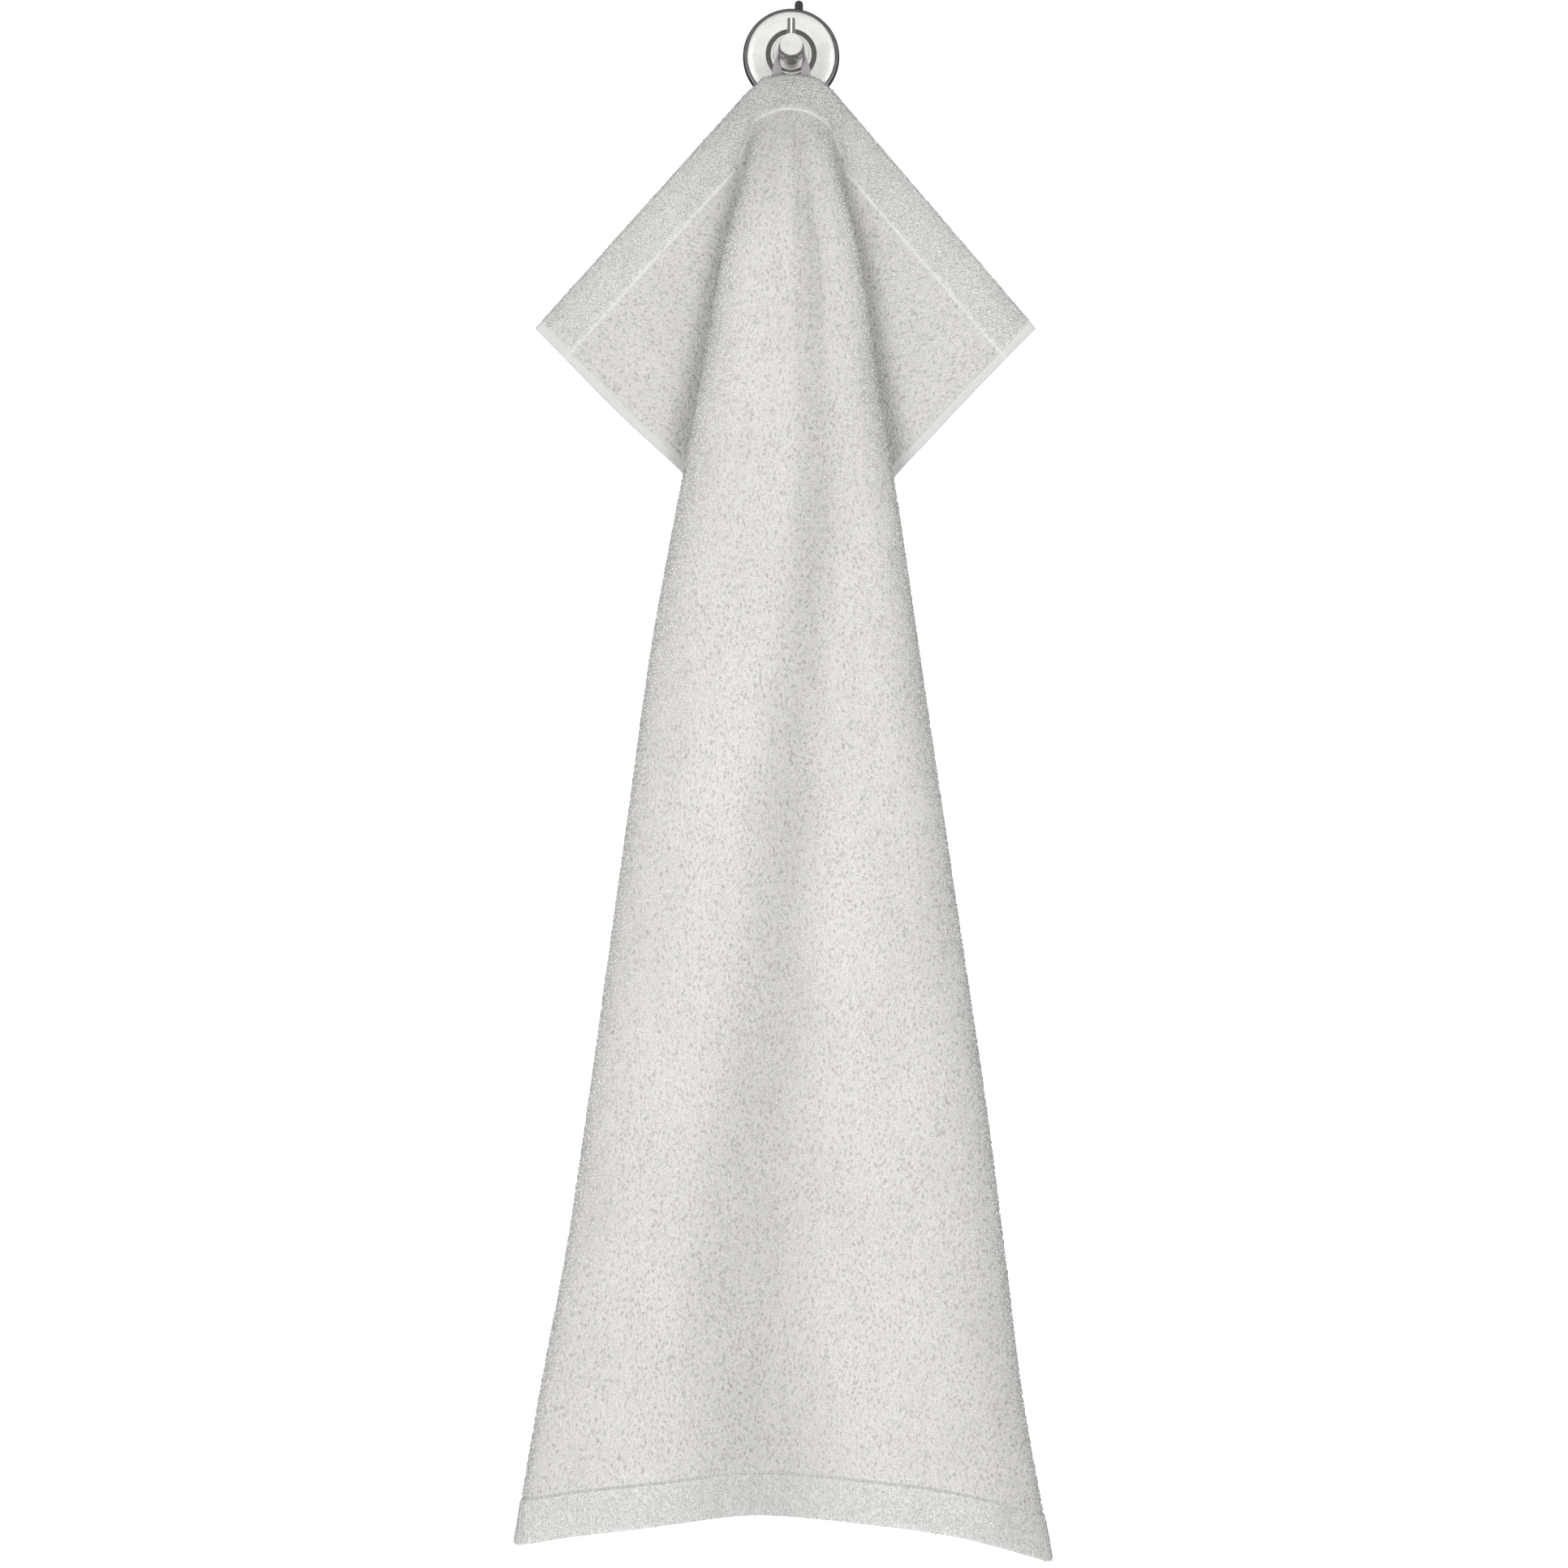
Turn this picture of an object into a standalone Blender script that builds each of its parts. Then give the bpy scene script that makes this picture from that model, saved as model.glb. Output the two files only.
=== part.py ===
"""Terry hand towel hanging by its sewn loop from a suction hook with a turned peg.

World frame: +Z up, +Y into the wall, +X to the right of someone facing the wall.
The origin is the centre of the suction cup's flat back, where it meets the wall.
Lengths below are in millimetres and are scaled to metres when a shape is made.
"""
import math

import bmesh
import bpy
import numpy as np
from mathutils import Vector

MM = 0.001

# Towel: a hem thins to the single cloth between two distances from its edge, and a wing is the
# flat top corner of the sheet that stands out past the front panel on each side
CLOTH_LENGTH = 1000.0
CLOTH_THICKNESS = 3.0
HEM_THICKNESS = 4.6
HEM_THINS = (24.0, 34.0)
PEAK_DROP = 18.0
LEFT_WING_SLOPE = 47.4
RIGHT_WING_SLOPE = 48.8
WING_LENGTH = 209.0
WING_CLOSES_AT = 169.0
WING_LEAN = 0.086
LEFT_WING_OUT = 4.5
RIGHT_WING_OUT = -3.4

# Side folds of the front panel: how much of the depth their rounding takes, and the levels between
# which they form
SHOULDER = 0.65
FOLD_RADIUS = 8.0
FOLDS_FROM = 22.0
FOLDED_BY = 60.0
LEAST_PANEL_DEPTH = 4.0
LEFT_DROOP = 0.85
RIGHT_DROOP = 1.33

# Places and widths of the panel's ridges and groove, as shares of its half-width
LEFT_RIDGE_AT = -0.62
RIGHT_RIDGE_AT = 0.36
RIDGE_WIDTH = 0.26
GROOVE_WIDTH = 0.20

# Flaps behind the panel: the wing's slope eases to the flap's between two levels, a wider half of
# the panel draws its layers outward, and the side edges ripple, less so toward the bottom
FLAP_SLOPE = 25.0
FLAP_TURNS = (170.0, 330.0)
DRAWN_OUT = 1.8
DRAWN_OUT_FROM = (200.0, 400.0)
RIPPLE = 7.0
RIPPLE_PITCH = 170.0
RIPPLE_START = 180.0
RIPPLE_FULL = 300.0
RIPPLE_CALMS = (650.0, 850.0)
RIPPLE_CALMED = 0.6
RIPPLE_LEFT_PHASE = 0.9

# Fullness of the curves between folds, as shares of the distance they span, how far a fold's
# roll carries, and how much the cloth falls as it leaves a fold, a tuck or the bend of the hem
TUCK_FULLNESS = 0.6
FLAP_FULLNESS = 0.9
LARGEST_FULLNESS = 0.8
ROLL_REACH = 5.0
FOLD_FALL = 0.2
TUCK_FALL = 0.6
HEM_FALL = 1.1

# Cells of the cloth's mesh: across the front panel, the inward layer and the flap of one side,
# crowded toward the folds by a power
PANEL_CELLS = 9
INWARD_CELLS = 11
FLAP_CELLS = 7
PANEL_CROWDING = 1.4
LAYER_CROWDING = 1.3
UPPER_ROWS = 13
LOWER_ROWS = 30
UPPER_END = 160.0
CURVE_POINTS = 33
DROP_STEP = 4.0

# Suction cup, cover plate, peg and stop pin; depths are distances out from the wall
CUP_RADIUS = 33.8
CUP_DEPTH = 6.0
TAB_CENTRE = 5.4
TAB_WIDTH = 5.1
TAB_TOP = 39.2
TAB_NEAR = 0.9
TAB_FAR = 3.5
TAB_ROOT = 8.0
TAB_ROUND_STEPS = 12
PLATE_RADIUS = 32.4
PLATE_BACK = 6.3
PLATE_FRONT = 10.0
BOSS_FOOT = 17.3
BOSS_RADIUS = 14.7
BOSS_FRONT = 12.2
COLLAR_RADIUS = 12.3
COLLAR_BACK = 12.5
COLLAR_FRONT = 17.0
NECK_RADIUS = 7.3
NECK_FRONT = 17.8
PEG_RADIUS = 7.8
PEG_FRONT = 45.0
PIN_RADIUS = 2.75
PIN_DEPTH = 38.4
PIN_TOP = 19.0
PIN_FOOT = 5.8
FIT_GAP = 0.3
TURNED_STEPS = 64
ROD_STEPS = 32

# Hanger loop: woven tape over the peg, twisted flat where it is sewn behind the hem
TAPE_WIDTH = 6.5
TAPE_THICKNESS = 1.2
TAPE_SEAT_DEPTH = 24.3
TAPE_ARC_STEPS = 16
TAPE_LEG_STEPS = 14
TWIST_STARTS = -1.0
TWIST_ENDS = -19.0

# Cross-sections of the hanging cloth, one row for each level: distance down the cloth, left and
# right half-width, stand-off of the centre line and of the side folds, and droop of the side
# folds below the centre
SECTIONS = """
down left right front rim droop
0     18    18    29    29  2
15    20    20    35.5  33  4
30    22    23    42.5  38  7
70    30    31    55    44  6.5
125   45    45    60    43  7
210   60    58    61    42  8
285   75    71    61    40  9
400   96    88    60    38  9
500   110   103   58    37  10
600   124   118   57    36  11
700   138   133   55    35  12
800   153   146   53    34  14
900   172   159   51    35  17
1000  190   179   49    35  24
"""

# Relief of the front panel: the groove's place as a share of the half-width, its depth, and the
# height of the soft ridge on each side of it
RELIEF = """
down groove_at groove left_ridge right_ridge
0     0.10   0    0    0
40    0.20   2    0    0
120   0.28   7    2    1
300   0.22   7    5    2
450   0.02   6    6    4
600  -0.10   8    7    7
800  -0.20   12   7    9
1000 -0.15   12   7    8
"""

# Layers behind the front panel, the same on both sides: where the cloth turns at its inner tuck
# (out from the centre, off the wall, dip below the centre line, angle turned toward the wall)
# and where its side edge lies (out from the centre, off the wall, below the peak)
LAYERS = """
down tuck tuck_off dip turn edge edge_off edge_low
0     26   28.5 8.5  0     174    10   173
15    31   29   18   10    163.5  10   183.8
30    33   28.5 25   22    153    11   194.5
45    28   29   41   64    142.6  11   205.3
60    22   30   48   90    132.2  11   216
100   18   31   54   90    104.3  12   244.7
150   10   31   58   90    69.5   13   280.5
200   6    31   60   90    41     14   321
300   5    30   58   90    28     15   404
400   5    29   50   90    25     16   487
500   12   28   46   90    28     16   571
600   27   27   40   90    41     16   656
700   50   26   33   90    62     16   742
800   74   27   26   90    88     15   829
900   98   28   20   90    114    14   916
1000  132  29   12   90    147    14   1003
"""

# Right leg of the loop's route: out from the centre, off the wall, height
LEG_ROUTE = """
out off height
8.7   24.3   0
9.4   24.4  -8
10.0  24.9  -15
10.2  26.2  -22
10.2  28.4  -29
"""


def read_table(text):
    """Columns of a table by name."""
    lines = text.strip().splitlines()
    rows = np.array([[float(word) for word in line.split()] for line in lines[1:]])
    return {name: rows[:, i] for i, name in enumerate(lines[0].split())}


def slopes_through(xs, ys):
    """Slopes of a curve through the rows that never overshoots them."""
    widths = np.diff(xs)
    rises = np.diff(ys) / widths
    slopes = np.zeros(len(xs))
    slopes[0] = rises[0]
    slopes[-1] = rises[-1]
    for i in range(1, len(xs) - 1):
        if rises[i - 1] * rises[i] > 0:
            before = 2 * widths[i] + widths[i - 1]
            after = widths[i] + 2 * widths[i - 1]
            slopes[i] = (before + after) / (before / rises[i - 1] + after / rises[i])
    return slopes


def read_between(table, name, x, key="down"):
    """Value of a column at x, on a smooth curve through the rows."""
    xs = table[key]
    ys = table[name]
    slopes = slopes_through(xs, ys)
    i = int(np.clip(np.searchsorted(xs, x) - 1, 0, len(xs) - 2))
    width = xs[i + 1] - xs[i]
    u = (x - xs[i]) / width
    return ((2 * u**3 - 3 * u**2 + 1) * ys[i] + (u**3 - 2 * u**2 + u) * width * slopes[i]
            + (3 * u**2 - 2 * u**3) * ys[i + 1] + (u**3 - u**2) * width * slopes[i + 1])


def ease(start, end, x):
    """Smooth step from 0 to 1."""
    u = min(max((x - start) / (end - start), 0.0), 1.0)
    return u * u * (3 - 2 * u)


def unit(vector):
    return vector / np.linalg.norm(vector)


def bend(start, leaving, end, arriving, start_pull, end_pull):
    """Points of a smooth curve between two places; each pull is a share of their distance."""
    u = np.linspace(0.0, 1.0, CURVE_POINTS)[:, None]
    reach = np.linalg.norm(end - start)
    return ((2 * u**3 - 3 * u**2 + 1) * start + (u**3 - 2 * u**2 + u) * reach * start_pull * leaving
            + (3 * u**2 - 2 * u**3) * end + (u**3 - u**2) * reach * end_pull * arriving)


def along(points, shares):
    """Points at shares of a line's length."""
    pieces = np.linalg.norm(np.diff(points, axis=0), axis=1)
    travelled = np.concatenate([[0.0], np.cumsum(pieces)])
    travelled /= travelled[-1]
    return np.stack([np.interp(shares, travelled, points[:, i]) for i in range(3)], axis=1)


SECTION_ROWS = read_table(SECTIONS)
RELIEF_ROWS = read_table(RELIEF)
LAYER_ROWS = read_table(LAYERS)


def centre_drop(down):
    """Depth of the centre line below the hook, the cloth's length being spent on its lean too."""
    levels = np.linspace(0.0, down, int(down / DROP_STEP) + 3)
    fronts = np.array([read_between(SECTION_ROWS, "front", level) for level in levels])
    drops = np.diff(levels)**2 - np.diff(fronts)**2
    return PEAK_DROP + float(np.sum(np.sqrt(np.maximum(drops, 0.0))))


def soft_bump(across, centre, width):
    """Height of a soft ridge of height 1 across the panel."""
    return np.exp(-((across - centre) / width)**2)


def front_panel(down, side):
    """One half of the front panel at one level, from the centre out to its side fold."""
    section = {name: read_between(SECTION_ROWS, name, down) for name in SECTION_ROWS}
    relief = {name: read_between(RELIEF_ROWS, name, down) for name in RELIEF_ROWS}
    half = section["left"] if side < 0 else section["right"]
    share = np.sin(np.linspace(0.0, math.pi / 2, CURVE_POINTS))
    across = share * side
    ridges = (soft_bump(across, LEFT_RIDGE_AT, RIDGE_WIDTH) * relief["left_ridge"]
              + soft_bump(across, RIGHT_RIDGE_AT, RIDGE_WIDTH) * relief["right_ridge"]
              - soft_bump(across, relief["groove_at"], GROOVE_WIDTH) * relief["groove"])
    roundness = SHOULDER * ease(FOLDS_FROM, FOLDED_BY, down)
    depth = section["front"] - section["rim"]
    squareness = 2 * FOLD_RADIUS * half / (SHOULDER * max(depth, LEAST_PANEL_DEPTH))**2
    corner = np.sqrt(np.maximum(1 - share**squareness, 0.0))
    crown = (1 - roundness) * (1 - share**2) + roundness * corner
    droop = section["droop"] * (LEFT_DROOP if side < 0 else RIGHT_DROOP)
    out = side * share * half
    off = section["rim"] + depth * crown + ridges * (1 - share**4)
    low = centre_drop(down) + droop * share**2
    return np.stack([out, -off, -low], axis=1)


def facing(side, turn, fall):
    """Direction that starts out sideways, turned toward the wall and falling a little."""
    angle = math.radians(turn)
    return unit(np.array([side * math.cos(angle), math.sin(angle), -fall]))


def side_edge_ripple(down, side):
    """How far a side edge stands off its mean line."""
    phase = RIPPLE_LEFT_PHASE if side < 0 else 0.0
    swing = RIPPLE * ease(RIPPLE_START, RIPPLE_FULL, down) * (1 - RIPPLE_CALMED * ease(*RIPPLE_CALMS, down))
    return swing * math.sin(2 * math.pi * (down - RIPPLE_START) / RIPPLE_PITCH + phase)


def weft_line(down, side):
    """One half of the cloth at one level, in three pieces from the centre out to the side edge."""
    panel = front_panel(down, side)
    fold = panel[-1]
    layer = {name: read_between(LAYER_ROWS, name, down) for name in LAYER_ROWS}
    wider = abs(fold[0]) - read_between(SECTION_ROWS, "right", down)
    drawn = DRAWN_OUT * wider * ease(*DRAWN_OUT_FROM, down)
    wing_out = LEFT_WING_OUT if side < 0 else RIGHT_WING_OUT
    out = layer["edge"] + drawn + wing_out * (1 - ease(FOLDED_BY, WING_CLOSES_AT, down))
    edge = np.array([side * out, -layer["edge_off"] - side_edge_ripple(down, side),
                     -PEAK_DROP - layer["edge_low"]])
    tuck = np.array([side * (layer["tuck"] + drawn), -layer["tuck_off"],
                     -centre_drop(down) - layer["dip"]])
    flapped = ease(*FLAP_TURNS, down)
    wing_slope = LEFT_WING_SLOPE if side < 0 else RIGHT_WING_SLOPE
    slope = math.radians(wing_slope - (wing_slope - FLAP_SLOPE) * flapped)
    outward = unit(np.array([side * math.cos(slope), WING_LEAN * (1 - flapped), -math.sin(slope)]))
    wing = max(WING_LENGTH * (1 - down / WING_CLOSES_AT), 0.0)
    wing_start = edge - wing * outward
    folded = ease(FOLDS_FROM, FOLDED_BY, down)
    steeper = ease(0.0, FOLDS_FROM, down) * (1 - folded)
    leaving = facing(side, 90.0 * folded, FOLD_FALL + (HEM_FALL - FOLD_FALL) * steeper)
    around = facing(side, layer["turn"], TUCK_FALL + (HEM_FALL - TUCK_FALL) * steeper)
    rolled = min(math.sqrt(ROLL_REACH * FOLD_RADIUS / np.linalg.norm(tuck - fold)), LARGEST_FULLNESS)
    inward = bend(fold, leaving, tuck, around, rolled, TUCK_FULLNESS)
    flap = bend(tuck, around, wing_start, outward, FLAP_FULLNESS, FLAP_FULLNESS)
    if wing > 0:
        flap = np.concatenate([flap, edge[None, :]])
    return panel, inward, flap


def cloth_row(down, side):
    """Mesh points of one half of a row, centre first."""
    panel, inward, flap = weft_line(down, side)
    panel_shares = 1 - (1 - np.linspace(0.0, 1.0, PANEL_CELLS + 1))**PANEL_CROWDING
    inward_shares = np.linspace(0.0, 1.0, INWARD_CELLS + 1)**LAYER_CROWDING
    flap_shares = np.linspace(0.0, 1.0, FLAP_CELLS + 1)**LAYER_CROWDING
    return np.concatenate([along(panel, panel_shares), along(inward, inward_shares)[1:],
                           along(flap, flap_shares)[1:]])


def material(name, colour, roughness, metallic):
    made = bpy.data.materials.new(name)
    made.use_nodes = True
    shader = made.node_tree.nodes["Principled BSDF"]
    shader.inputs["Base Color"].default_value = (*colour, 1.0)
    shader.inputs["Roughness"].default_value = roughness
    shader.inputs["Metallic"].default_value = metallic
    return made


def add_object(name, mesh, finish):
    thing = bpy.data.objects.new(name, mesh)
    bpy.context.scene.collection.objects.link(thing)
    if finish is not None:
        mesh.materials.append(finish)
    return thing


def mesh_from(bm, name, sharp_angle=None):
    """Mesh of a finished bmesh, smooth shaded with edges kept sharp past an angle."""
    bmesh.ops.recalc_face_normals(bm, faces=bm.faces)
    mesh = bpy.data.meshes.new(name)
    bm.to_mesh(mesh)
    bm.free()
    mesh.shade_smooth()
    if sharp_angle is not None:
        mesh.set_sharp_from_angle(angle=math.radians(sharp_angle))
    return mesh


def turned(name, profile, finish):
    """Round piece about the hook's axis; its profile lists radius and distance off the wall."""
    bm = bmesh.new()
    points = [bm.verts.new((radius * MM, -off * MM, 0.0)) for radius, off in profile]
    edges = [bm.edges.new(pair) for pair in zip(points, points[1:])]
    bmesh.ops.spin(bm, geom=points + edges, cent=(0, 0, 0), axis=(0, 1, 0),
                   angle=2 * math.pi, steps=TURNED_STEPS, use_merge=True)
    bmesh.ops.remove_doubles(bm, verts=bm.verts, dist=1e-6)
    return add_object(name, mesh_from(bm, name, 30), finish)


def upright_rod(name, radius, off, foot, top, chamfer, finish):
    """Small upright rod standing in the peg, its top edge chamfered."""
    bm = bmesh.new()
    profile = [(0, foot), (radius, foot), (radius, top - chamfer), (radius - chamfer, top), (0, top)]
    points = [bm.verts.new((out * MM, -off * MM, height * MM)) for out, height in profile]
    edges = [bm.edges.new(pair) for pair in zip(points, points[1:])]
    bmesh.ops.spin(bm, geom=points + edges, cent=(0, -off * MM, 0), axis=(0, 0, 1),
                   angle=2 * math.pi, steps=ROD_STEPS, use_merge=True)
    bmesh.ops.remove_doubles(bm, verts=bm.verts, dist=1e-6)
    return add_object(name, mesh_from(bm, name, 30), finish)


def as_cutter(thing):
    thing.hide_render = True
    thing.display_type = "WIRE"
    return thing


def combine(target, other, operation):
    """Exact Boolean of a piece with a helper shape."""
    step = target.modifiers.new(other.name, "BOOLEAN")
    step.operation = operation
    step.solver = "EXACT"
    step.object = other


def pull_tab():
    """Round-ended tongue that breaks the cup's seal when it is pulled."""
    bm = bmesh.new()
    radius = TAB_WIDTH / 2
    arc_centre = TAB_TOP - radius
    outline = [(TAB_CENTRE + radius, CUP_RADIUS - TAB_ROOT)]
    for i in range(TAB_ROUND_STEPS + 1):
        angle = math.pi * i / TAB_ROUND_STEPS
        outline.append((TAB_CENTRE + radius * math.cos(angle), arc_centre + radius * math.sin(angle)))
    outline.append((TAB_CENTRE - radius, CUP_RADIUS - TAB_ROOT))
    face = bm.faces.new([bm.verts.new((x * MM, -TAB_NEAR * MM, z * MM)) for x, z in outline])
    extruded = bmesh.ops.extrude_face_region(bm, geom=[face])
    moved = [item for item in extruded["geom"] if isinstance(item, bmesh.types.BMVert)]
    bmesh.ops.translate(bm, verts=moved, vec=(0, -(TAB_FAR - TAB_NEAR) * MM, 0))
    return as_cutter(add_object("pull_tab_form", mesh_from(bm, "pull_tab_form", 30), None))


def suction_cup():
    rubber = material("black_rubber", (0.035, 0.04, 0.045), 0.55, 0.0)
    profile = [(0, 0), (CUP_RADIUS - 0.5, 0), (CUP_RADIUS, 0.6), (CUP_RADIUS, 2.4),
               (CUP_RADIUS - 0.5, 4.6), (CUP_RADIUS - 2.2, CUP_DEPTH), (0, CUP_DEPTH)]
    cup = turned("suction_cup", profile, rubber)
    combine(cup, pull_tab(), "UNION")


def cover_plate(steel):
    """Pressed steel cover with a rolled rim and a raised boss for the peg."""
    profile = [(0, PLATE_BACK), (PLATE_RADIUS - 0.3, PLATE_BACK), (PLATE_RADIUS, PLATE_BACK + 0.4),
               (PLATE_RADIUS - 0.1, PLATE_FRONT - 2.2), (PLATE_RADIUS - 0.6, PLATE_FRONT - 1.2),
               (PLATE_RADIUS - 1.7, PLATE_FRONT - 0.6), (BOSS_FOOT, PLATE_FRONT),
               (BOSS_RADIUS + 0.3, BOSS_FRONT - 0.2), (BOSS_RADIUS - 0.3, BOSS_FRONT), (0, BOSS_FRONT)]
    turned("cover_plate", profile, steel)


def peg(steel):
    """Turned peg and its collar in one piece, with a socket for the stop pin."""
    profile = [(0, COLLAR_BACK), (COLLAR_RADIUS - 0.2, COLLAR_BACK), (COLLAR_RADIUS, COLLAR_BACK + 0.2),
               (COLLAR_RADIUS, COLLAR_FRONT - 0.4), (COLLAR_RADIUS - 0.4, COLLAR_FRONT),
               (NECK_RADIUS, COLLAR_FRONT), (NECK_RADIUS, NECK_FRONT), (PEG_RADIUS, NECK_FRONT + 0.3),
               (PEG_RADIUS, PEG_FRONT - 0.4), (PEG_RADIUS - 0.4, PEG_FRONT), (0, PEG_FRONT)]
    body = turned("peg", profile, steel)
    socket = upright_rod("socket_cutter", PIN_RADIUS + FIT_GAP, PIN_DEPTH, PIN_FOOT - FIT_GAP,
                         PEG_RADIUS + 2.0, 0.1, None)
    combine(body, as_cutter(socket), "DIFFERENCE")


def stop_pin():
    polished = material("polished_steel", (0.80, 0.79, 0.77), 0.08, 1.0)
    upright_rod("stop_pin", PIN_RADIUS, PIN_DEPTH, PIN_FOOT, PIN_TOP, 0.3, polished)


def loop_stations():
    """Centre points and width directions of the tape, from its left end over the peg to the right."""
    route = read_table(LEG_ROUTE)
    heights = np.linspace(route["height"][-1], 0.0, TAPE_LEG_STEPS + 1)
    ordered = {name: column[::-1] for name, column in route.items()}
    leg = []
    for height in heights:
        out = read_between(ordered, "out", height, "height")
        off = read_between(ordered, "off", height, "height")
        leg.append((out, -off, height))
    turns = [math.radians(90.0 * ease(TWIST_STARTS, TWIST_ENDS, height)) for height in heights]
    radius = route["out"][0]
    arc = [math.pi * i / TAPE_ARC_STEPS for i in range(1, TAPE_ARC_STEPS)]
    right = list(zip(leg, turns))
    left = [((-x, y, z), -turn) for (x, y, z), turn in right]
    over = [((-radius * math.cos(a), -TAPE_SEAT_DEPTH, radius * math.sin(a)), 0.0) for a in arc]
    return left + over + right[::-1]


def hanger_loop():
    """Flat woven tape swept along its route, twisting from edge-on to face-on in each leg."""
    tape = material("cotton_tape", (0.58, 0.55, 0.56), 0.9, 0.0)
    stations = loop_stations()
    places = [Vector(place) for place, turn in stations]
    bm = bmesh.new()
    rings = []
    for i, (place, turn) in enumerate(stations):
        ahead = places[min(i + 1, len(places) - 1)] - places[max(i - 1, 0)]
        ahead.normalize()
        across = Vector((math.sin(turn), -math.cos(turn), 0.0))
        across = (across - ahead * across.dot(ahead)).normalized()
        through = ahead.cross(across)
        half_width = across * TAPE_WIDTH / 2
        half_thick = through * TAPE_THICKNESS / 2
        centre = places[i]
        corners = (half_width + half_thick, half_width - half_thick,
                   -half_width - half_thick, -half_width + half_thick)
        rings.append([bm.verts.new((centre + corner) * MM) for corner in corners])
    for ring, following in zip(rings, rings[1:]):
        for j in range(4):
            k = (j + 1) % 4
            bm.faces.new((ring[j], ring[k], following[k], following[j]))
    bm.faces.new(rings[0])
    bm.faces.new(reversed(rings[-1]))
    add_object("hanger_loop", mesh_from(bm, "hanger_loop", 40), tape)


def cloth_levels():
    upper = np.linspace(0.0, UPPER_END, UPPER_ROWS + 1)
    lower = np.linspace(UPPER_END, CLOTH_LENGTH, LOWER_ROWS + 1)
    return np.concatenate([upper, lower[1:]])


def hem_share(down):
    """1 on the hems along the two short edges, 0 on the single cloth between them."""
    from_edge = min(down, CLOTH_LENGTH - down)
    return 1.0 - ease(*HEM_THINS, from_edge)


def towel():
    """One sheet, hems and selvedges included, on the folds in which it hangs."""
    terry = material("terry_cotton", (0.66, 0.65, 0.63), 0.95, 0.0)
    levels = cloth_levels()
    rows = []
    for down in levels:
        left = cloth_row(down, -1)
        right = cloth_row(down, 1)
        rows.append(np.concatenate([left[::-1], right[1:]]))
    across = len(rows[0])
    bm = bmesh.new()
    bmesh.ops.create_grid(bm, x_segments=across - 1, y_segments=len(levels) - 1, size=1.0)
    bm.verts.ensure_lookup_table()
    places = np.concatenate(rows[::-1]) * MM
    for vert, place in zip(bm.verts, places):
        vert.co = place
    mesh = mesh_from(bm, "towel")
    thing = add_object("towel", mesh, terry)
    group = thing.vertex_groups.new(name="hem")
    for i, down in enumerate(levels[::-1]):
        group.add(list(range(i * across, (i + 1) * across)), hem_share(down), "REPLACE")
    solid = thing.modifiers.new("thickness", "SOLIDIFY")
    solid.thickness = HEM_THICKNESS * MM
    solid.offset = 0.0
    solid.vertex_group = "hem"
    solid.thickness_vertex_group = CLOTH_THICKNESS / HEM_THICKNESS


def main():
    for old in list(bpy.data.objects):
        bpy.data.objects.remove(old, do_unlink=True)
    steel = material("brushed_steel", (0.68, 0.67, 0.65), 0.32, 1.0)
    suction_cup()
    cover_plate(steel)
    peg(steel)
    stop_pin()
    hanger_loop()
    towel()


main()
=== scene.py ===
import math

import bmesh
import bpy
import numpy as np
from bpy.props import FloatProperty, FloatVectorProperty, IntProperty, PointerProperty
from mathutils import Matrix, Vector, noise


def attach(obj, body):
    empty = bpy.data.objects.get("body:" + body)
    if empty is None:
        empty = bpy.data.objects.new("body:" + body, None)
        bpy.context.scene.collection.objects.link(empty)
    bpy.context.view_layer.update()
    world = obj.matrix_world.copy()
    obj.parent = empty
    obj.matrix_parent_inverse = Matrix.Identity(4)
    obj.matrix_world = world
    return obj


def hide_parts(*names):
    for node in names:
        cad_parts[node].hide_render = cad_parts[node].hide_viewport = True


bl_info = {
    "name": "Hand towel on a hook",
    "version": (1, 0, 0),
    "blender": (4, 5, 0),
    "location": "3D Viewport > Sidebar > Towel",
    "description": "Builds a terry hand towel hanging by its loop from a round suction hook",
    "category": "Object",
}

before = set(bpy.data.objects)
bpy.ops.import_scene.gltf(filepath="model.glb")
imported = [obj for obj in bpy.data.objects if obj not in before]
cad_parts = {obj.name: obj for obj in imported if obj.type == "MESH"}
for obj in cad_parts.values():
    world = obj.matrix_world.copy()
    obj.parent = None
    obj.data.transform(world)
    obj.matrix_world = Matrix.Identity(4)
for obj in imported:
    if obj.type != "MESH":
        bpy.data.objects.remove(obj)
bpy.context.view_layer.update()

MM = 0.001
BODY = "root"

# The sheet of terry, in millimetres, as it was cut
CLOTH_WIDTH = 500.0
CLOTH_LENGTH = 1000.0
PEAK_DROP = 18.0
LEFT_WING_SLOPE = 47.4
RIGHT_WING_SLOPE = 48.8
WING_LENGTH = 209.0
WING_CLOSES_AT = 169.0
WING_LEAN = 0.086
LEFT_WING_OUT = 4.5
RIGHT_WING_OUT = -3.4
SHOULDER = 0.65
FOLD_RADIUS = 8.0
FOLDS_FROM = 22.0
FOLDED_BY = 60.0
LEFT_DROOP = 0.85
RIGHT_DROOP = 1.33
LEFT_RIDGE_AT = -0.62
RIGHT_RIDGE_AT = 0.36
RIDGE_WIDTH = 0.26
GROOVE_WIDTH = 0.20
FLAP_SLOPE = 25.0
FLAP_TURNS = (170.0, 330.0)
DRAWN_OUT = 1.8
DRAWN_OUT_FROM = (200.0, 400.0)
RIPPLE = 7.0
RIPPLE_PITCH = 170.0
RIPPLE_START = 180.0
RIPPLE_FULL = 300.0
RIPPLE_CALMS = (650.0, 850.0)
RIPPLE_CALMED = 0.6
RIPPLE_LEFT_PHASE = 0.9
TUCK_FULLNESS = 0.6
FLAP_FULLNESS = 0.9
LARGEST_FULLNESS = 0.8
ROLL_REACH = 5.0
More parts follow.
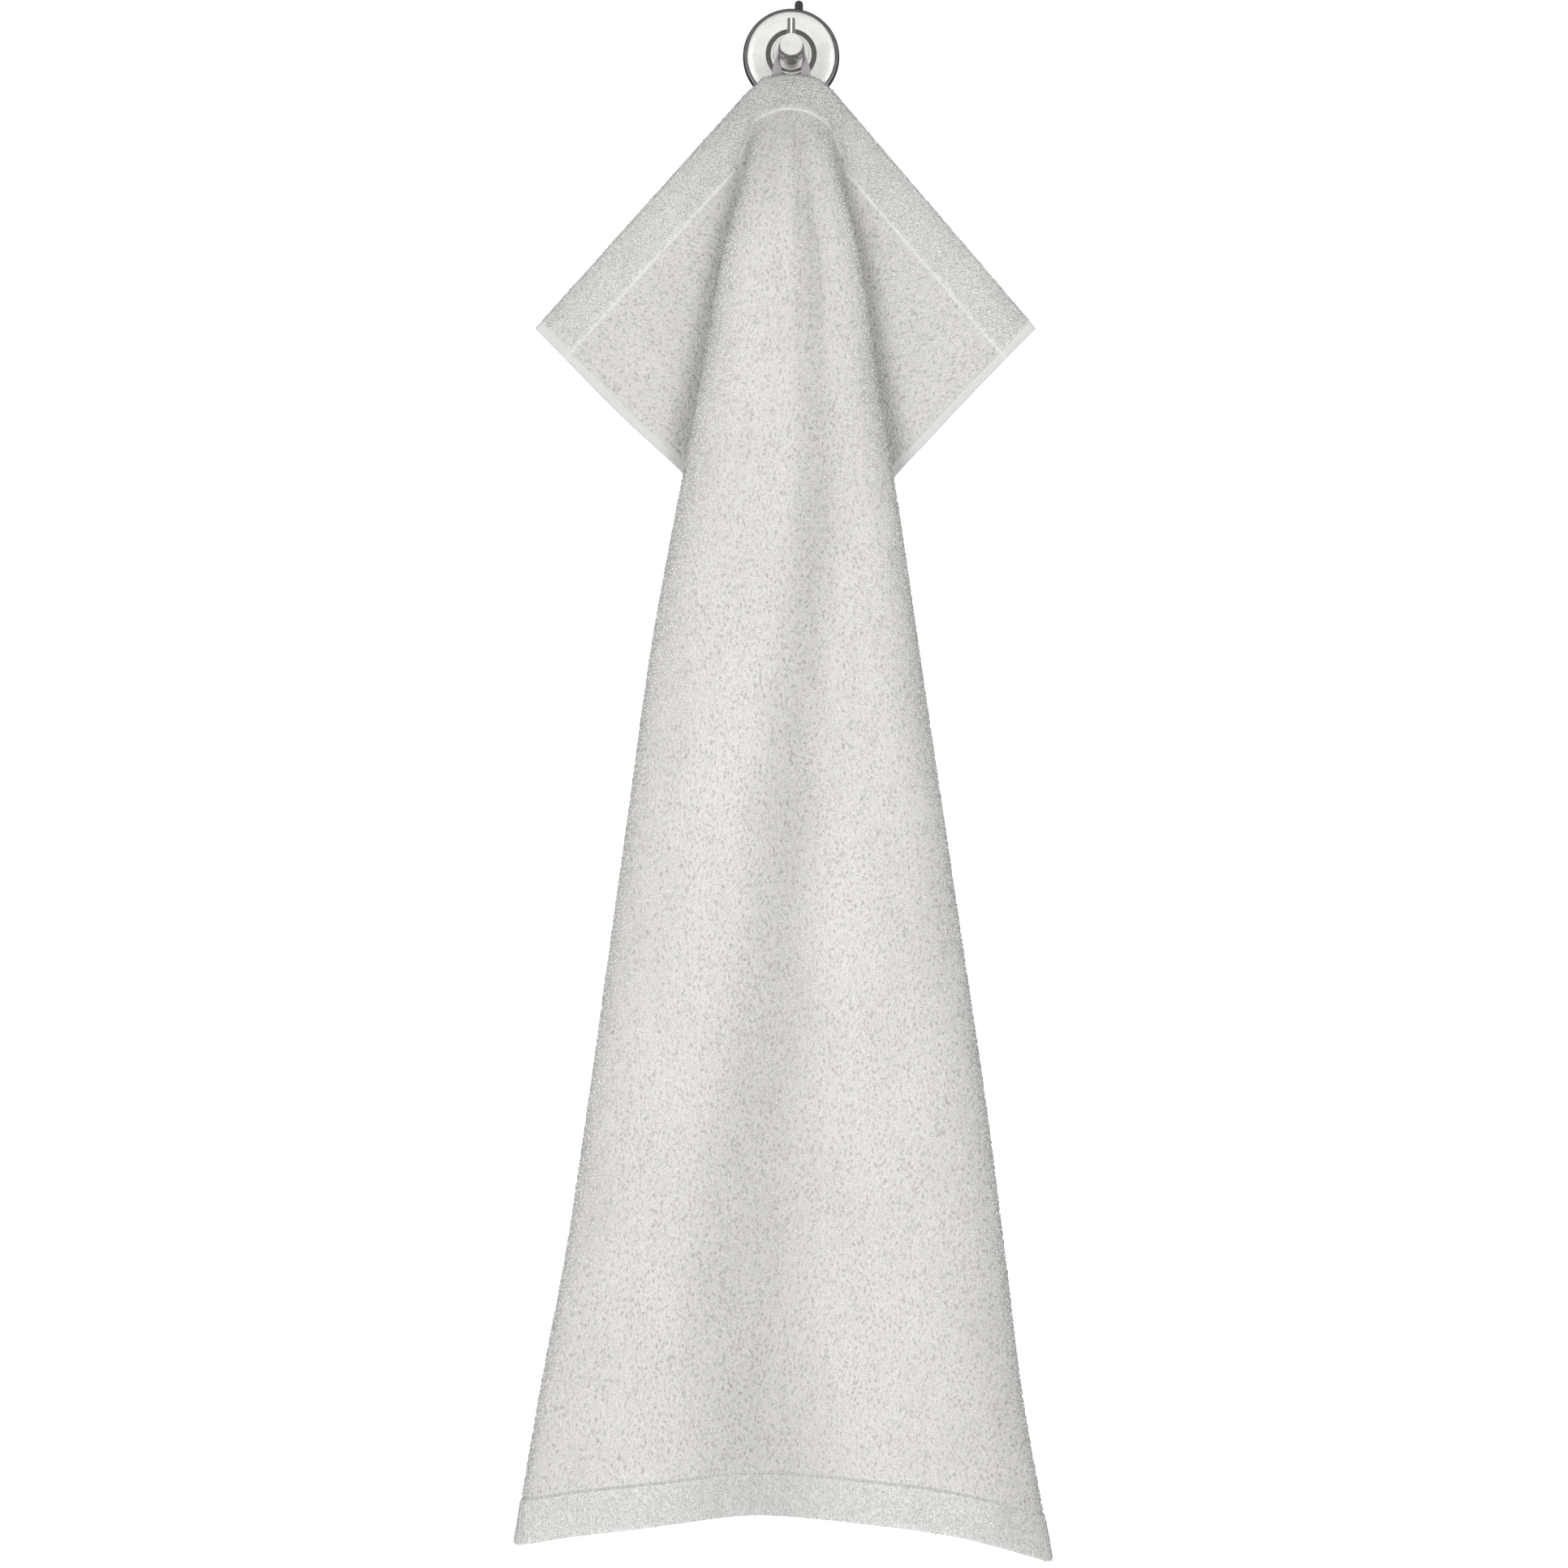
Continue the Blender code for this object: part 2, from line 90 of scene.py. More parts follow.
FOLD_FALL = 0.2
TUCK_FALL = 0.6
HEM_FALL = 1.1
CURVE_POINTS = 33

# Cross-sections of the hanging cloth at each distance down it
SECTIONS = """
down left right front rim droop
0     18    18    29    29  2
15    20    20    35.5  33  4
30    22    23    42.5  38  7
70    30    31    55    44  6.5
125   45    45    60    43  7
210   60    58    61    42  8
285   75    71    61    40  9
400   96    88    60    38  9
500   110   103   58    37  10
600   124   118   57    36  11
700   138   133   55    35  12
800   153   146   53    34  14
900   172   159   51    35  17
1000  190   179   49    35  24
"""

# Soft ridges and the groove of the front panel
RELIEF = """
down groove_at groove left_ridge right_ridge
0     0.10   0    0    0
40    0.20   2    0    0
120   0.28   7    2    1
300   0.22   7    5    2
450   0.02   6    6    4
600  -0.10   8    7    7
800  -0.20   12   7    9
1000 -0.15   12   7    8
"""

# Inner tucks and side edges behind the front panel
LAYERS = """
down tuck tuck_off dip turn edge edge_off edge_low
0     26   28.5 8.5  0     174    10   173
15    31   29   18   10    163.5  10   183.8
30    33   28.5 25   22    153    11   194.5
45    28   29   41   64    142.6  11   205.3
60    22   30   48   90    132.2  11   216
100   18   31   54   90    104.3  12   244.7
150   10   31   58   90    69.5   13   280.5
200   6    31   60   90    41     14   321
300   5    30   58   90    28     15   404
400   5    29   50   90    25     16   487
500   12   28   46   90    28     16   571
600   27   27   40   90    41     16   656
700   50   26   33   90    62     16   742
800   74   27   26   90    88     15   829
900   98   28   20   90    114    14   916
1000  132  29   12   90    147    14   1003
"""

# Centre line of one leg of the tape: its height, and its distances from the middle and from the wall
LEG_ROUTE = """
height out off
-29  10.2   28.4
-22  10.2   26.2
-15  10.0   24.9
-8   9.4    24.4
0    8.7    24.3
"""

# Small creases that fan out below the top hem
CREASES = """
across width height
15     6.5    1.3
7.5    5.5   -1.5
-14    6.5   -1.5
-3     6.5    0.8
"""
CREASES_START = (30.0, 52.0)
CREASES_END = (150.0, 260.0)

# Sizes and heights of the cloth's soft unevenness
UNEVENNESS = """
across down seed height
46     130  3.7  1.5
19     42   9.1  0.55
"""
UNEVEN_FROM = (34.0, 90.0)

# Sizes of the patches in which the loops lie over, and their angles in radians
BRUSHED_PATCHES = """
across down seed angle
28     34   1.3  0.55
9      11   5.1  0.25
"""

# The dimple near the bottom left corner
DIMPLE_AT = (-148.0, 962.0)
DIMPLE_SIZE = (9.0, 11.0)
DIMPLE_DEPTH = 2.0


def read_table(text):
    """Columns of a table by name."""
    lines = text.strip().splitlines()
    rows = np.array([[float(word) for word in line.split()] for line in lines[1:]])
    return {name: rows[:, i] for i, name in enumerate(lines[0].split())}


def slopes_through(xs, ys):
    """Slopes of a curve through the rows that never overshoots them."""
    widths = np.diff(xs)
    rises = np.diff(ys) / widths
    slopes = np.zeros(len(xs))
    slopes[0] = rises[0]
    slopes[-1] = rises[-1]
    for i in range(1, len(xs) - 1):
        if rises[i - 1] * rises[i] > 0:
            before = 2 * widths[i] + widths[i - 1]
            after = widths[i] + 2 * widths[i - 1]
            slopes[i] = (before + after) / (before / rises[i - 1] + after / rises[i])
    return slopes


def read_between(table, name, x, key="down"):
    """Value of a column at x, on a smooth curve through the rows."""
    xs = table[key]
    ys = table[name]
    slopes = slopes_through(xs, ys)
    i = int(np.clip(np.searchsorted(xs, x) - 1, 0, len(xs) - 2))
    width = xs[i + 1] - xs[i]
    u = (x - xs[i]) / width
    return ((2 * u**3 - 3 * u**2 + 1) * ys[i] + (u**3 - 2 * u**2 + u) * width * slopes[i]
            + (3 * u**2 - 2 * u**3) * ys[i + 1] + (u**3 - u**2) * width * slopes[i + 1])


def ease(start, end, x):
    """Smooth step from 0 to 1."""
    u = np.clip((x - start) / (end - start), 0.0, 1.0)
    return u * u * (3 - 2 * u)


def unit(vector):
    return vector / np.linalg.norm(vector, axis=-1, keepdims=True)


def bend(start, leaving, end, arriving, start_pull, end_pull):
    """Points of a smooth curve between two places; each pull is a share of their distance."""
    u = np.linspace(0.0, 1.0, CURVE_POINTS)[:, None]
    reach = np.linalg.norm(end - start)
    return ((2 * u**3 - 3 * u**2 + 1) * start + (u**3 - 2 * u**2 + u) * reach * start_pull * leaving
            + (3 * u**2 - 2 * u**3) * end + (u**3 - u**2) * reach * end_pull * arriving)


SECTION_ROWS = read_table(SECTIONS)
RELIEF_ROWS = read_table(RELIEF)
LAYER_ROWS = read_table(LAYERS)
ROUTE_ROWS = read_table(LEG_ROUTE)
CREASE_ROWS = read_table(CREASES)
UNEVENNESS_ROWS = read_table(UNEVENNESS)
BRUSHED_ROWS = read_table(BRUSHED_PATCHES)


def drop_curve():
    """Depth of the centre line below the hook at every 4 mm down the cloth."""
    levels = np.linspace(0.0, CLOTH_LENGTH, 251)
    fronts = np.array([read_between(SECTION_ROWS, "front", level) for level in levels])
    steps = np.sqrt(np.maximum(np.diff(levels)**2 - np.diff(fronts)**2, 0.0))
    return levels, PEAK_DROP + np.concatenate([[0.0], np.cumsum(steps)])


DROP_LEVELS, DROPS = drop_curve()


def centre_drop(down):
    return float(np.interp(down, DROP_LEVELS, DROPS))


def soft_bump(across, centre, width):
    """Height of a soft ridge of height 1 across the panel."""
    return np.exp(-((across - centre) / width)**2)


def facing(side, turn, fall):
    """Direction that starts out sideways, turned toward the wall and falling a little."""
    angle = math.radians(turn)
    return unit(np.array([side * math.cos(angle), math.sin(angle), -fall]))


def front_panel(down, side):
    """One half of the front panel at one level, from the centre out to its side fold."""
    section = {name: read_between(SECTION_ROWS, name, down) for name in SECTION_ROWS}
    relief = {name: read_between(RELIEF_ROWS, name, down) for name in RELIEF_ROWS}
    half = section["left"] if side < 0 else section["right"]
    share = np.sin(np.linspace(0.0, math.pi / 2, CURVE_POINTS))
    across = share * side
    ridges = (soft_bump(across, LEFT_RIDGE_AT, RIDGE_WIDTH) * relief["left_ridge"]
              + soft_bump(across, RIGHT_RIDGE_AT, RIDGE_WIDTH) * relief["right_ridge"]
              - soft_bump(across, relief["groove_at"], GROOVE_WIDTH) * relief["groove"])
    roundness = SHOULDER * ease(FOLDS_FROM, FOLDED_BY, down)
    depth = section["front"] - section["rim"]
    squareness = 2 * FOLD_RADIUS * half / (SHOULDER * max(depth, 4.0))**2
    corner = np.sqrt(np.maximum(1 - share**squareness, 0.0))
    crown = (1 - roundness) * (1 - share**2) + roundness * corner
    droop = section["droop"] * (LEFT_DROOP if side < 0 else RIGHT_DROOP)
    out = side * share * half
    off = section["rim"] + depth * crown + ridges * (1 - share**4)
    low = centre_drop(down) + droop * share**2
    return np.stack([out, -off, -low], axis=1)


def side_edge_ripple(down, side):
    """How far a side edge stands off its mean line."""
    phase = RIPPLE_LEFT_PHASE if side < 0 else 0.0
    swing = RIPPLE * ease(RIPPLE_START, RIPPLE_FULL, down) * (1 - RIPPLE_CALMED * ease(*RIPPLE_CALMS, down))
    return swing * math.sin(2 * math.pi * (down - RIPPLE_START) / RIPPLE_PITCH + phase)


def weft_line(down, side):
    """One half of the cloth at one level, and the places of its side fold, tuck and wing on it."""
    panel = front_panel(down, side)
    fold = panel[-1]
    layer = {name: read_between(LAYER_ROWS, name, down) for name in LAYER_ROWS}
    wider = abs(fold[0]) - read_between(SECTION_ROWS, "right", down)
    drawn = DRAWN_OUT * wider * ease(*DRAWN_OUT_FROM, down)
    wing_out = LEFT_WING_OUT if side < 0 else RIGHT_WING_OUT
    out = layer["edge"] + drawn + wing_out * (1 - ease(FOLDED_BY, WING_CLOSES_AT, down))
    edge = np.array([side * out, -layer["edge_off"] - side_edge_ripple(down, side),
                     -PEAK_DROP - layer["edge_low"]])
    tuck = np.array([side * (layer["tuck"] + drawn), -layer["tuck_off"],
                     -centre_drop(down) - layer["dip"]])
    flapped = ease(*FLAP_TURNS, down)
    wing_slope = LEFT_WING_SLOPE if side < 0 else RIGHT_WING_SLOPE
    slope = math.radians(wing_slope - (wing_slope - FLAP_SLOPE) * flapped)
    outward = unit(np.array([side * math.cos(slope), WING_LEAN * (1 - flapped), -math.sin(slope)]))
    wing = max(WING_LENGTH * (1 - down / WING_CLOSES_AT), 0.0)
    wing_start = edge - wing * outward
    folded = ease(FOLDS_FROM, FOLDED_BY, down)
    steeper = ease(0.0, FOLDS_FROM, down) * (1 - folded)
    leaving = facing(side, 90.0 * folded, FOLD_FALL + (HEM_FALL - FOLD_FALL) * steeper)
    around = facing(side, layer["turn"], TUCK_FALL + (HEM_FALL - TUCK_FALL) * steeper)
    rolled = min(math.sqrt(ROLL_REACH * FOLD_RADIUS / np.linalg.norm(tuck - fold)), LARGEST_FULLNESS)
    inward = bend(fold, leaving, tuck, around, rolled, TUCK_FULLNESS)
    flap = bend(tuck, around, wing_start, outward, FLAP_FULLNESS, FLAP_FULLNESS)
    line = np.concatenate([panel, inward[1:], flap[1:]])
    marks = [CURVE_POINTS - 1, 2 * CURVE_POINTS - 2, 3 * CURVE_POINTS - 3]
    if wing > 0:
        line = np.concatenate([line, edge[None, :]])
    travelled = np.concatenate([[0.0], np.cumsum(np.linalg.norm(np.diff(line, axis=0), axis=1))])
    travelled /= travelled[-1]
    return line, travelled, travelled[marks]


# Where a mark lies on one half of a level: its side fold, its inner tuck and the start of its wing
FOLD, TUCK, WING = 0, 1, 2

# Rows and columns of the fine sheet: millimetres from each end of the cloth, and columns on each half
HEM_ROWS = [0.0, 0.6, 1.6, 3.0, 5.0, 7.5, 10.5, 13.5, 16.5, 19.5, 22.5, 25.0, 27.0, 28.6, 30.0, 31.4,
            33.0, 35.5]
BODY_ROW_STEP = 3.8
HALF_COLUMNS = 72
HEM_DEPTH = 30.0
SELVEDGE = 7.0
PILE_HALF = CLOTH_WIDTH / 2 - SELVEDGE
STITCH_SINK = 0.42
STITCH_SINK_WIDTH = 1.1
HEM_SELVEDGE_EXTRA = 1.1
EDGE_ROUNDING = 2.6
EDGE_THINNEST = 0.12


def sheet_rows():
    """Distances down the cloth, closer at the hems."""
    lower = [CLOTH_LENGTH - down for down in reversed(HEM_ROWS)]
    count = int(round((lower[0] - HEM_ROWS[-1]) / BODY_ROW_STEP))
    return np.concatenate([HEM_ROWS, np.linspace(HEM_ROWS[-1], lower[0], count + 1)[1:-1], lower])


def sheet_columns():
    """Distances from the centre line, in shares of the half-width, closer at the selvedge."""
    strip = 1.0 - SELVEDGE / (CLOTH_WIDTH / 2)
    inner = np.linspace(0.0, strip, HALF_COLUMNS - 2)
    return np.concatenate([inner, [strip + 0.3 * (1 - strip), strip + 0.7 * (1 - strip), 1.0]])


def thickness_at(across, down, settings):
    """Thickness of the sheet in millimetres, under the pile: across is from the centre line."""
    from_end = np.minimum(down, CLOTH_LENGTH - down)
    from_side = CLOTH_WIDTH / 2 - np.abs(across)
    hem = 1.0 - ease(HEM_DEPTH - 1.0, HEM_DEPTH + 1.5, from_end)
    thick = settings.ground + (settings.hem_ground - settings.ground) * hem
    thick = thick * (1 - STITCH_SINK * soft_bump(from_end, HEM_DEPTH, STITCH_SINK_WIDTH))
    selvedge = 1.0 - ease(SELVEDGE - 1.5, SELVEDGE + 0.5, from_side)
    thin = settings.selvedge_ground * (1 + HEM_SELVEDGE_EXTRA * hem)
    thick = thick + (np.minimum(thin, thick) - thick) * selvedge
    inward = np.clip(from_end / EDGE_ROUNDING, 0, 1)
    return thick * np.sqrt(np.clip(1 - (1 - inward)**2, EDGE_THINNEST, 1))


def uneven(table, across, down):
    """Soft random patches of the sizes and heights in a table, added up."""
    return sum(height * noise.noise(Vector((across / wide, down / long, seed)))
               for wide, long, seed, height in zip(*table.values()))


def fine_relief(across, down, side_share):
    """Small folds of the front panel, as millimetres outward, past the ones in the tables."""
    fan = ease(*CREASES_START, down) * (1 - ease(*CREASES_END, down))
    creases = sum(height * soft_bump(across, centre, width)
                  for centre, width, height in zip(*CREASE_ROWS.values()))
    relief = fan * creases + ease(*UNEVEN_FROM, down) * uneven(UNEVENNESS_ROWS, across, down)
    relief -= (DIMPLE_DEPTH * soft_bump(across, DIMPLE_AT[0], DIMPLE_SIZE[0])
               * soft_bump(down, DIMPLE_AT[1], DIMPLE_SIZE[1]))
    return relief * (1 - ease(0.9, 1.0, side_share))


class Sheet:
    """The hanging sheet as arrays of rows by columns, in millimetres."""

    def __init__(self, settings):
        self.downs = sheet_rows()
        shares = sheet_columns()
        self.across = np.concatenate([-shares[:0:-1], shares]) * CLOTH_WIDTH / 2
        places = []
        self.marks = {-1: [], 1: []}
        for down in self.downs:
            halves = {}
            for side in (-1, 1):
                line, travelled, marks = weft_line(down, side)
                halves[side] = np.stack([np.interp(shares, travelled, line[:, i]) for i in range(3)],
                                        axis=1)
                self.marks[side].append(marks)
            places.append(np.concatenate([halves[-1][:0:-1], halves[1]]))
        self.places = np.array(places)
        self.marks = {side: np.array(rows) for side, rows in self.marks.items()}
        self.find_directions()
        grid_across, grid_down = np.meshgrid(self.across, self.downs)
        relief = np.zeros(grid_across.shape)
        for i, down in enumerate(self.downs):
            for j, across in enumerate(self.across):
                relief[i, j] = self.relief_at(across, down, i)
        self.places = self.places + self.normals * relief[..., None]
        self.find_directions()
        self.thickness = thickness_at(grid_across, grid_down, settings)

    def relief_at(self, across, down, row):
        side = -1 if across < 0 else 1
        fold_at = self.marks[side][row][FOLD] * CLOTH_WIDTH / 2
        return fine_relief(across, down, min(abs(across) / fold_at, 1.0))

    def find_directions(self):
        self.sideways = unit(np.gradient(self.places, axis=1))
        self.downward = unit(np.gradient(self.places, axis=0))
        self.normals = unit(np.cross(self.downward, self.sideways))

    def at(self, across, down):
        """Places, normals, directions and thicknesses at points of the flat cloth."""
        col = np.interp(across, self.across, np.arange(len(self.across)))
        row = np.interp(down, self.downs, np.arange(len(self.downs)))
        c = np.clip(col.astype(int), 0, len(self.across) - 2)
        r = np.clip(row.astype(int), 0, len(self.downs) - 2)
        u = (col - c)[:, None]
        v = (row - r)[:, None]

        def mix(field):
            return ((field[r, c] * (1 - u) + field[r, c + 1] * u) * (1 - v)
                    + (field[r + 1, c] * (1 - u) + field[r + 1, c + 1] * u) * v)

        return (mix(self.places), unit(mix(self.normals)), unit(mix(self.sideways)),
                unit(mix(self.downward)), mix(self.thickness[..., None])[:, 0])

    def mark_at(self, across, down, which):
        """Share of the half-width at which the fold, tuck or wing lies, at each point's level."""
        left = np.interp(down, self.downs, self.marks[-1][:, which])
        right = np.interp(down, self.downs, self.marks[1][:, which])
        return np.where(across < 0, left, right)


SHEETS = {}


def hanging_sheet(settings):
    """The sheet's arrays, worked out once for the cloth and for everything that sits on it."""
    key = (settings.ground, settings.hem_ground, settings.selvedge_ground)
    if key not in SHEETS:
        SHEETS[key] = Sheet(settings)
    return SHEETS[key]


# Painted shade: how much darker the pile and its ground are painted in the groove, at each side fold, on the
# wings, behind the panel, at the loop and on the top hem's rolled edge, where shade falls on the hanging
# cloth
# Painted shade along the groove down the front panel
GROOVE_SHADE = 0.15
GROOVE_SHADE_WIDTH = 0.17
GROOVE_SHADE_WIDER = 0.07
GROOVE_SHADE_WIDENS = (500.0, 900.0)
GROOVE_SHADE_FROM = (50.0, 120.0)
# Painted shade where the panel turns away at its side folds, more on the right
LEFT_SIDE_SHADE = 0.06
LEFT_SIDE_REACH = (0.65, 1.0)
RIGHT_SIDE_SHADE = 0.22
RIGHT_SIDE_REACH = (0.55, 1.05)
SIDE_SHADE_FROM = (90.0, 220.0)
# Painted shade past each side fold and on the wings, deepest where the wing starts behind the panel
WING_SHADE = 0.05
WING_SHADE_WIDTH = 0.1
TUCKED_SHADE = 0.06
TUCKED_SHADE_REACH = 0.3
# Painted shade on the top of the panel by the loop, and along the top hem's rolled edge
TOP_SHADE = 0.15
TOP_SHADE_WIDTH = 48.0
TOP_SHADE_ENDS = (50.0, 140.0)
ROLLED_EDGE_SHADE = 0.11
ROLLED_EDGE = 16.0

# The loops: how far they differ in size, stand up and lie over, how much larger they are on the back, and
# how far past the fold, wing and tuck they go, as a share of the half-width
LOOP_SIZES = (0.82, 1.2)
LOOP_RAISED = 0.25
TILT_SPREAD = 0.16
BACK_LOOPS = (1.9, 1.7, 1.0)
FRONT_LIE = (0.25, 0.32)
BACK_LIE = (0.2, 0.4)
HEM_LIE = (0.08, 0.34)
WING_PILE_ENDS = 215.0
INNER_PILE_FROM = 330.0
PAST_FOLD = 0.03
PAST_WING = 0.05
PAST_TUCK = 0.02
PILE_FROM_STITCH = 1.0

# The hems: distances of their pile from the edge and the stitches, its pitch on each face, the bristles on
# the folded edge, and the stitches, whose length is a share of their pitch
HEM_PILE_HALF = PILE_HALF - 0.6
HEM_PILE_FROM_EDGE = 1.6
HEM_PILE_FROM_STITCH = 1.4
HEM_PITCHES = {1: (1.2, 1.9), -1: (2.6, 3.6)}
HEM_RIB = (0.66, 0.92, 0.30)
HEM_PILE_LOOSE = 0.5
HEM_TONES = (0.03, 0.14)
BRISTLE_TONES = (0.0, 0.14)
BRISTLE_PITCH = 0.62
BRISTLE_SIZE = (0.3, 0.85, 0.3)
BRISTLE_SIZES = (0.75, 1.25)
BRISTLE_SWAY = (0.3, 0.45)
BRISTLE_SPREAD = 0.4
BRISTLE_STRIP = 0.5
STITCHES_FROM_SIDE = 2.0
STITCH_SIZE = (0.45, 0.36, 0.34)
STITCH_RAISED = 0.05

# The hook, in millimetres: profiles by radius and distance from the wall, or height on the peg's axis
COVER_PROFILE = [(0, 6.3), (31.6, 6.3), (32.1, 6.45), (32.4, 6.9), (32.4, 7.6), (32.2, 8.2), (31.75, 8.75),
                 (31.0, 9.15), (29.5, 9.42), (26.0, 9.68), (22.0, 9.86), (18.9, 9.95), (17.8, 10.0),
                 (14.7, 11.95), (14.2, 12.2), (0, 12.2)]
CUP_PROFILE = [(0, 0.5), (7.0, 0.5), (8.0, 0.2), (9.0, 0.5), (16.0, 0.5), (17.0, 0.2), (18.0, 0.5),
               (25.0, 0.4), (26.0, 0.1), (33.3, 0.0), (33.8, 0.6), (33.8, 2.2), (33.5, 3.4), (32.6, 4.4),
               (32.2, 5.4), (31.6, 6.0), (0, 6.0)]
PEG_PROFILE = [(0, 12.5), (12.3, 12.5), (12.3, 17.0), (7.3, 17.0), (7.3, 17.8), (7.8, 17.8), (7.8, 45.0),
               (0, 45.0)]
PIN_PROFILE = [(0, 5.8), (2.75, 5.8), (2.75, 19.0), (0, 19.0)]
PIN_SOCKET = [(0, 5.6), (2.87, 5.6), (2.87, 12.0), (0, 12.0)]
PIN_OFF_WALL = 38.4
TAB_WIDTH = 5.8
TAB_LENGTH = 9.0
TAB_THICKNESS = 2.6
TAB_END_ROUNDING = 2.8
TAB_EDGE_ROUNDING = 0.4
TAB_PLACE = (5.4, -0.9, 34.7)
TAPE_COLUMNS = 9

# The studio, in metres and watts
LIGHTS_AIM = (0.0, -0.03, -0.52)
HOOK_AIM = (0.0, 0.0, 0.0)
# Name, place, width, height, power, aim, and whether the steel mirrors it
LIGHTS = (
    ("key_left", (-0.92, -2.35, -0.60), 0.9, 1.4, 32.0, LIGHTS_AIM, False),
    ("key_right", (1.02, -2.35, -0.60), 0.9, 1.4, 32.0, LIGHTS_AIM, False),
    ("hook_card", (0.0, -2.7, 0.90), 2.2, 1.3, 12.5, HOOK_AIM, True),
    ("glint_left", (-0.95, -2.5, 0.05), 0.9, 0.9, 6.5, HOOK_AIM, True),
    ("glint_right", (0.95, -2.5, 0.05), 0.9, 0.9, 6.0, HOOK_AIM, True),
    ("backdrop_left", (-1.75, 1.5, -0.6), 0.6, 2.2, 60.0, (-0.9, 3.2, -1.0), True),
    ("backdrop_right", (1.75, 1.5, -0.6), 0.6, 2.2, 60.0, (0.9, 3.2, -1.0), True),
)
AIR_LIGHT = 0.20
FLOOR_HALF = 4.0
FLOOR_PLACE = (0.0, -0.8, -2.0)
BACKDROP_HEIGHT = 5.0
COVE_RADIUS = 1.1


# Materials

class Nodes:
    """Short hand for building one procedural material."""

    def __init__(self, name):
        self.material = bpy.data.materials.new(name)
        self.material.use_nodes = True
        self.tree = self.material.node_tree
        self.shader = self.tree.nodes["Principled BSDF"]

    def add(self, kind, inputs=(), **settings):
        node = self.tree.nodes.new(kind)
        for name, value in settings.items():
            setattr(node, name, value)
        for name, value in dict(inputs).items():
            self.put(node.inputs[name], value)
        return node

    def put(self, socket, value):
        if isinstance(value, bpy.types.NodeSocket):
            self.tree.links.new(value, socket)
        else:
            socket.default_value = value

    def set(self, **values):
        for name, value in values.items():
            self.put(self.shader.inputs[name.replace("_", " ")], value)

    def math(self, operation, *values):
        node = self.add("ShaderNodeMath", operation=operation)
        for socket, value in zip(node.inputs, values):
            self.put(socket, value)
        return node.outputs[0]

    def plus(self, first, second):
        return self.math("ADD", first, second)

    def less(self, first, second):
        return self.math("SUBTRACT", first, second)

    def times(self, first, second):
        return self.math("MULTIPLY", first, second)

    def ramp(self, value, low, high, to_low=0.0, to_high=1.0):
        node = self.add("ShaderNodeMapRange", {"Value": value, "From Min": low, "From Max": high,
                                               "To Min": to_low, "To Max": to_high},
                        interpolation_type="SMOOTHSTEP")
        return node.outputs["Result"]

    def mix(self, share, first, second):
        node = self.add("ShaderNodeMix", data_type="RGBA")
        self.put(node.inputs["Factor"], share)
        self.put(node.inputs[6], first)
        self.put(node.inputs[7], second)
        return node.outputs[2]

    def mix_value(self, share, first, second):
        node = self.add("ShaderNodeMix", data_type="FLOAT")
        self.put(node.inputs["Factor"], share)
        self.put(node.inputs[2], first)
        self.put(node.inputs[3], second)
        return node.outputs[0]

    def shade(self, colour, amount):
        """Colour made lighter or darker by a number about 1."""
        node = self.add("ShaderNodeVectorMath", operation="SCALE")
        self.put(node.inputs[0], colour[:3] if isinstance(colour, tuple) else colour)
        self.put(node.inputs["Scale"], amount)
        return node.outputs[0]

    def noise(self, vector, scale, detail=2.0, roughness=0.5):
        node = self.add("ShaderNodeTexNoise", {"Vector": vector, "Scale": scale, "Detail": detail,
                                               "Roughness": roughness})
        return node.outputs[0]

    def bands(self, vector, scale, distortion, direction, detail=2.0, detail_scale=1.0):
        """Parallel ribs, a little uneven."""
        node = self.add("ShaderNodeTexWave", {"Vector": vector, "Scale": scale, "Distortion": distortion,
                                              "Detail": detail, "Detail Scale": detail_scale},
                        wave_type="BANDS", bands_direction=direction)
        return node.outputs["Fac"]

    def mapped(self, vector, scale=(1, 1, 1), rotation=(0, 0, 0)):
        node = self.add("ShaderNodeMapping", {"Vector": vector, "Scale": scale, "Rotation": rotation})
        return node.outputs[0]

    def bump(self, height, distance, strength=1.0):
        node = self.add("ShaderNodeBump", {"Height": height, "Distance": distance, "Strength": strength})
        return node.outputs[0]

    def split(self, vector):
        node = self.add("ShaderNodeSeparateXYZ", {"Vector": vector})
        return node.outputs

    def object_places(self):
        return self.add("ShaderNodeTexCoord").outputs["Object"]

    def flat_places(self, name):
        return self.add("ShaderNodeUVMap", uv_map=name).outputs[0]

    def tint(self):
        """The tone that each point of the cloth or its pile carries, painted shade included."""
        return self.add("ShaderNodeAttribute", attribute_name="tint").outputs["Fac"]


def colour(values):
    return (*values, 1.0)


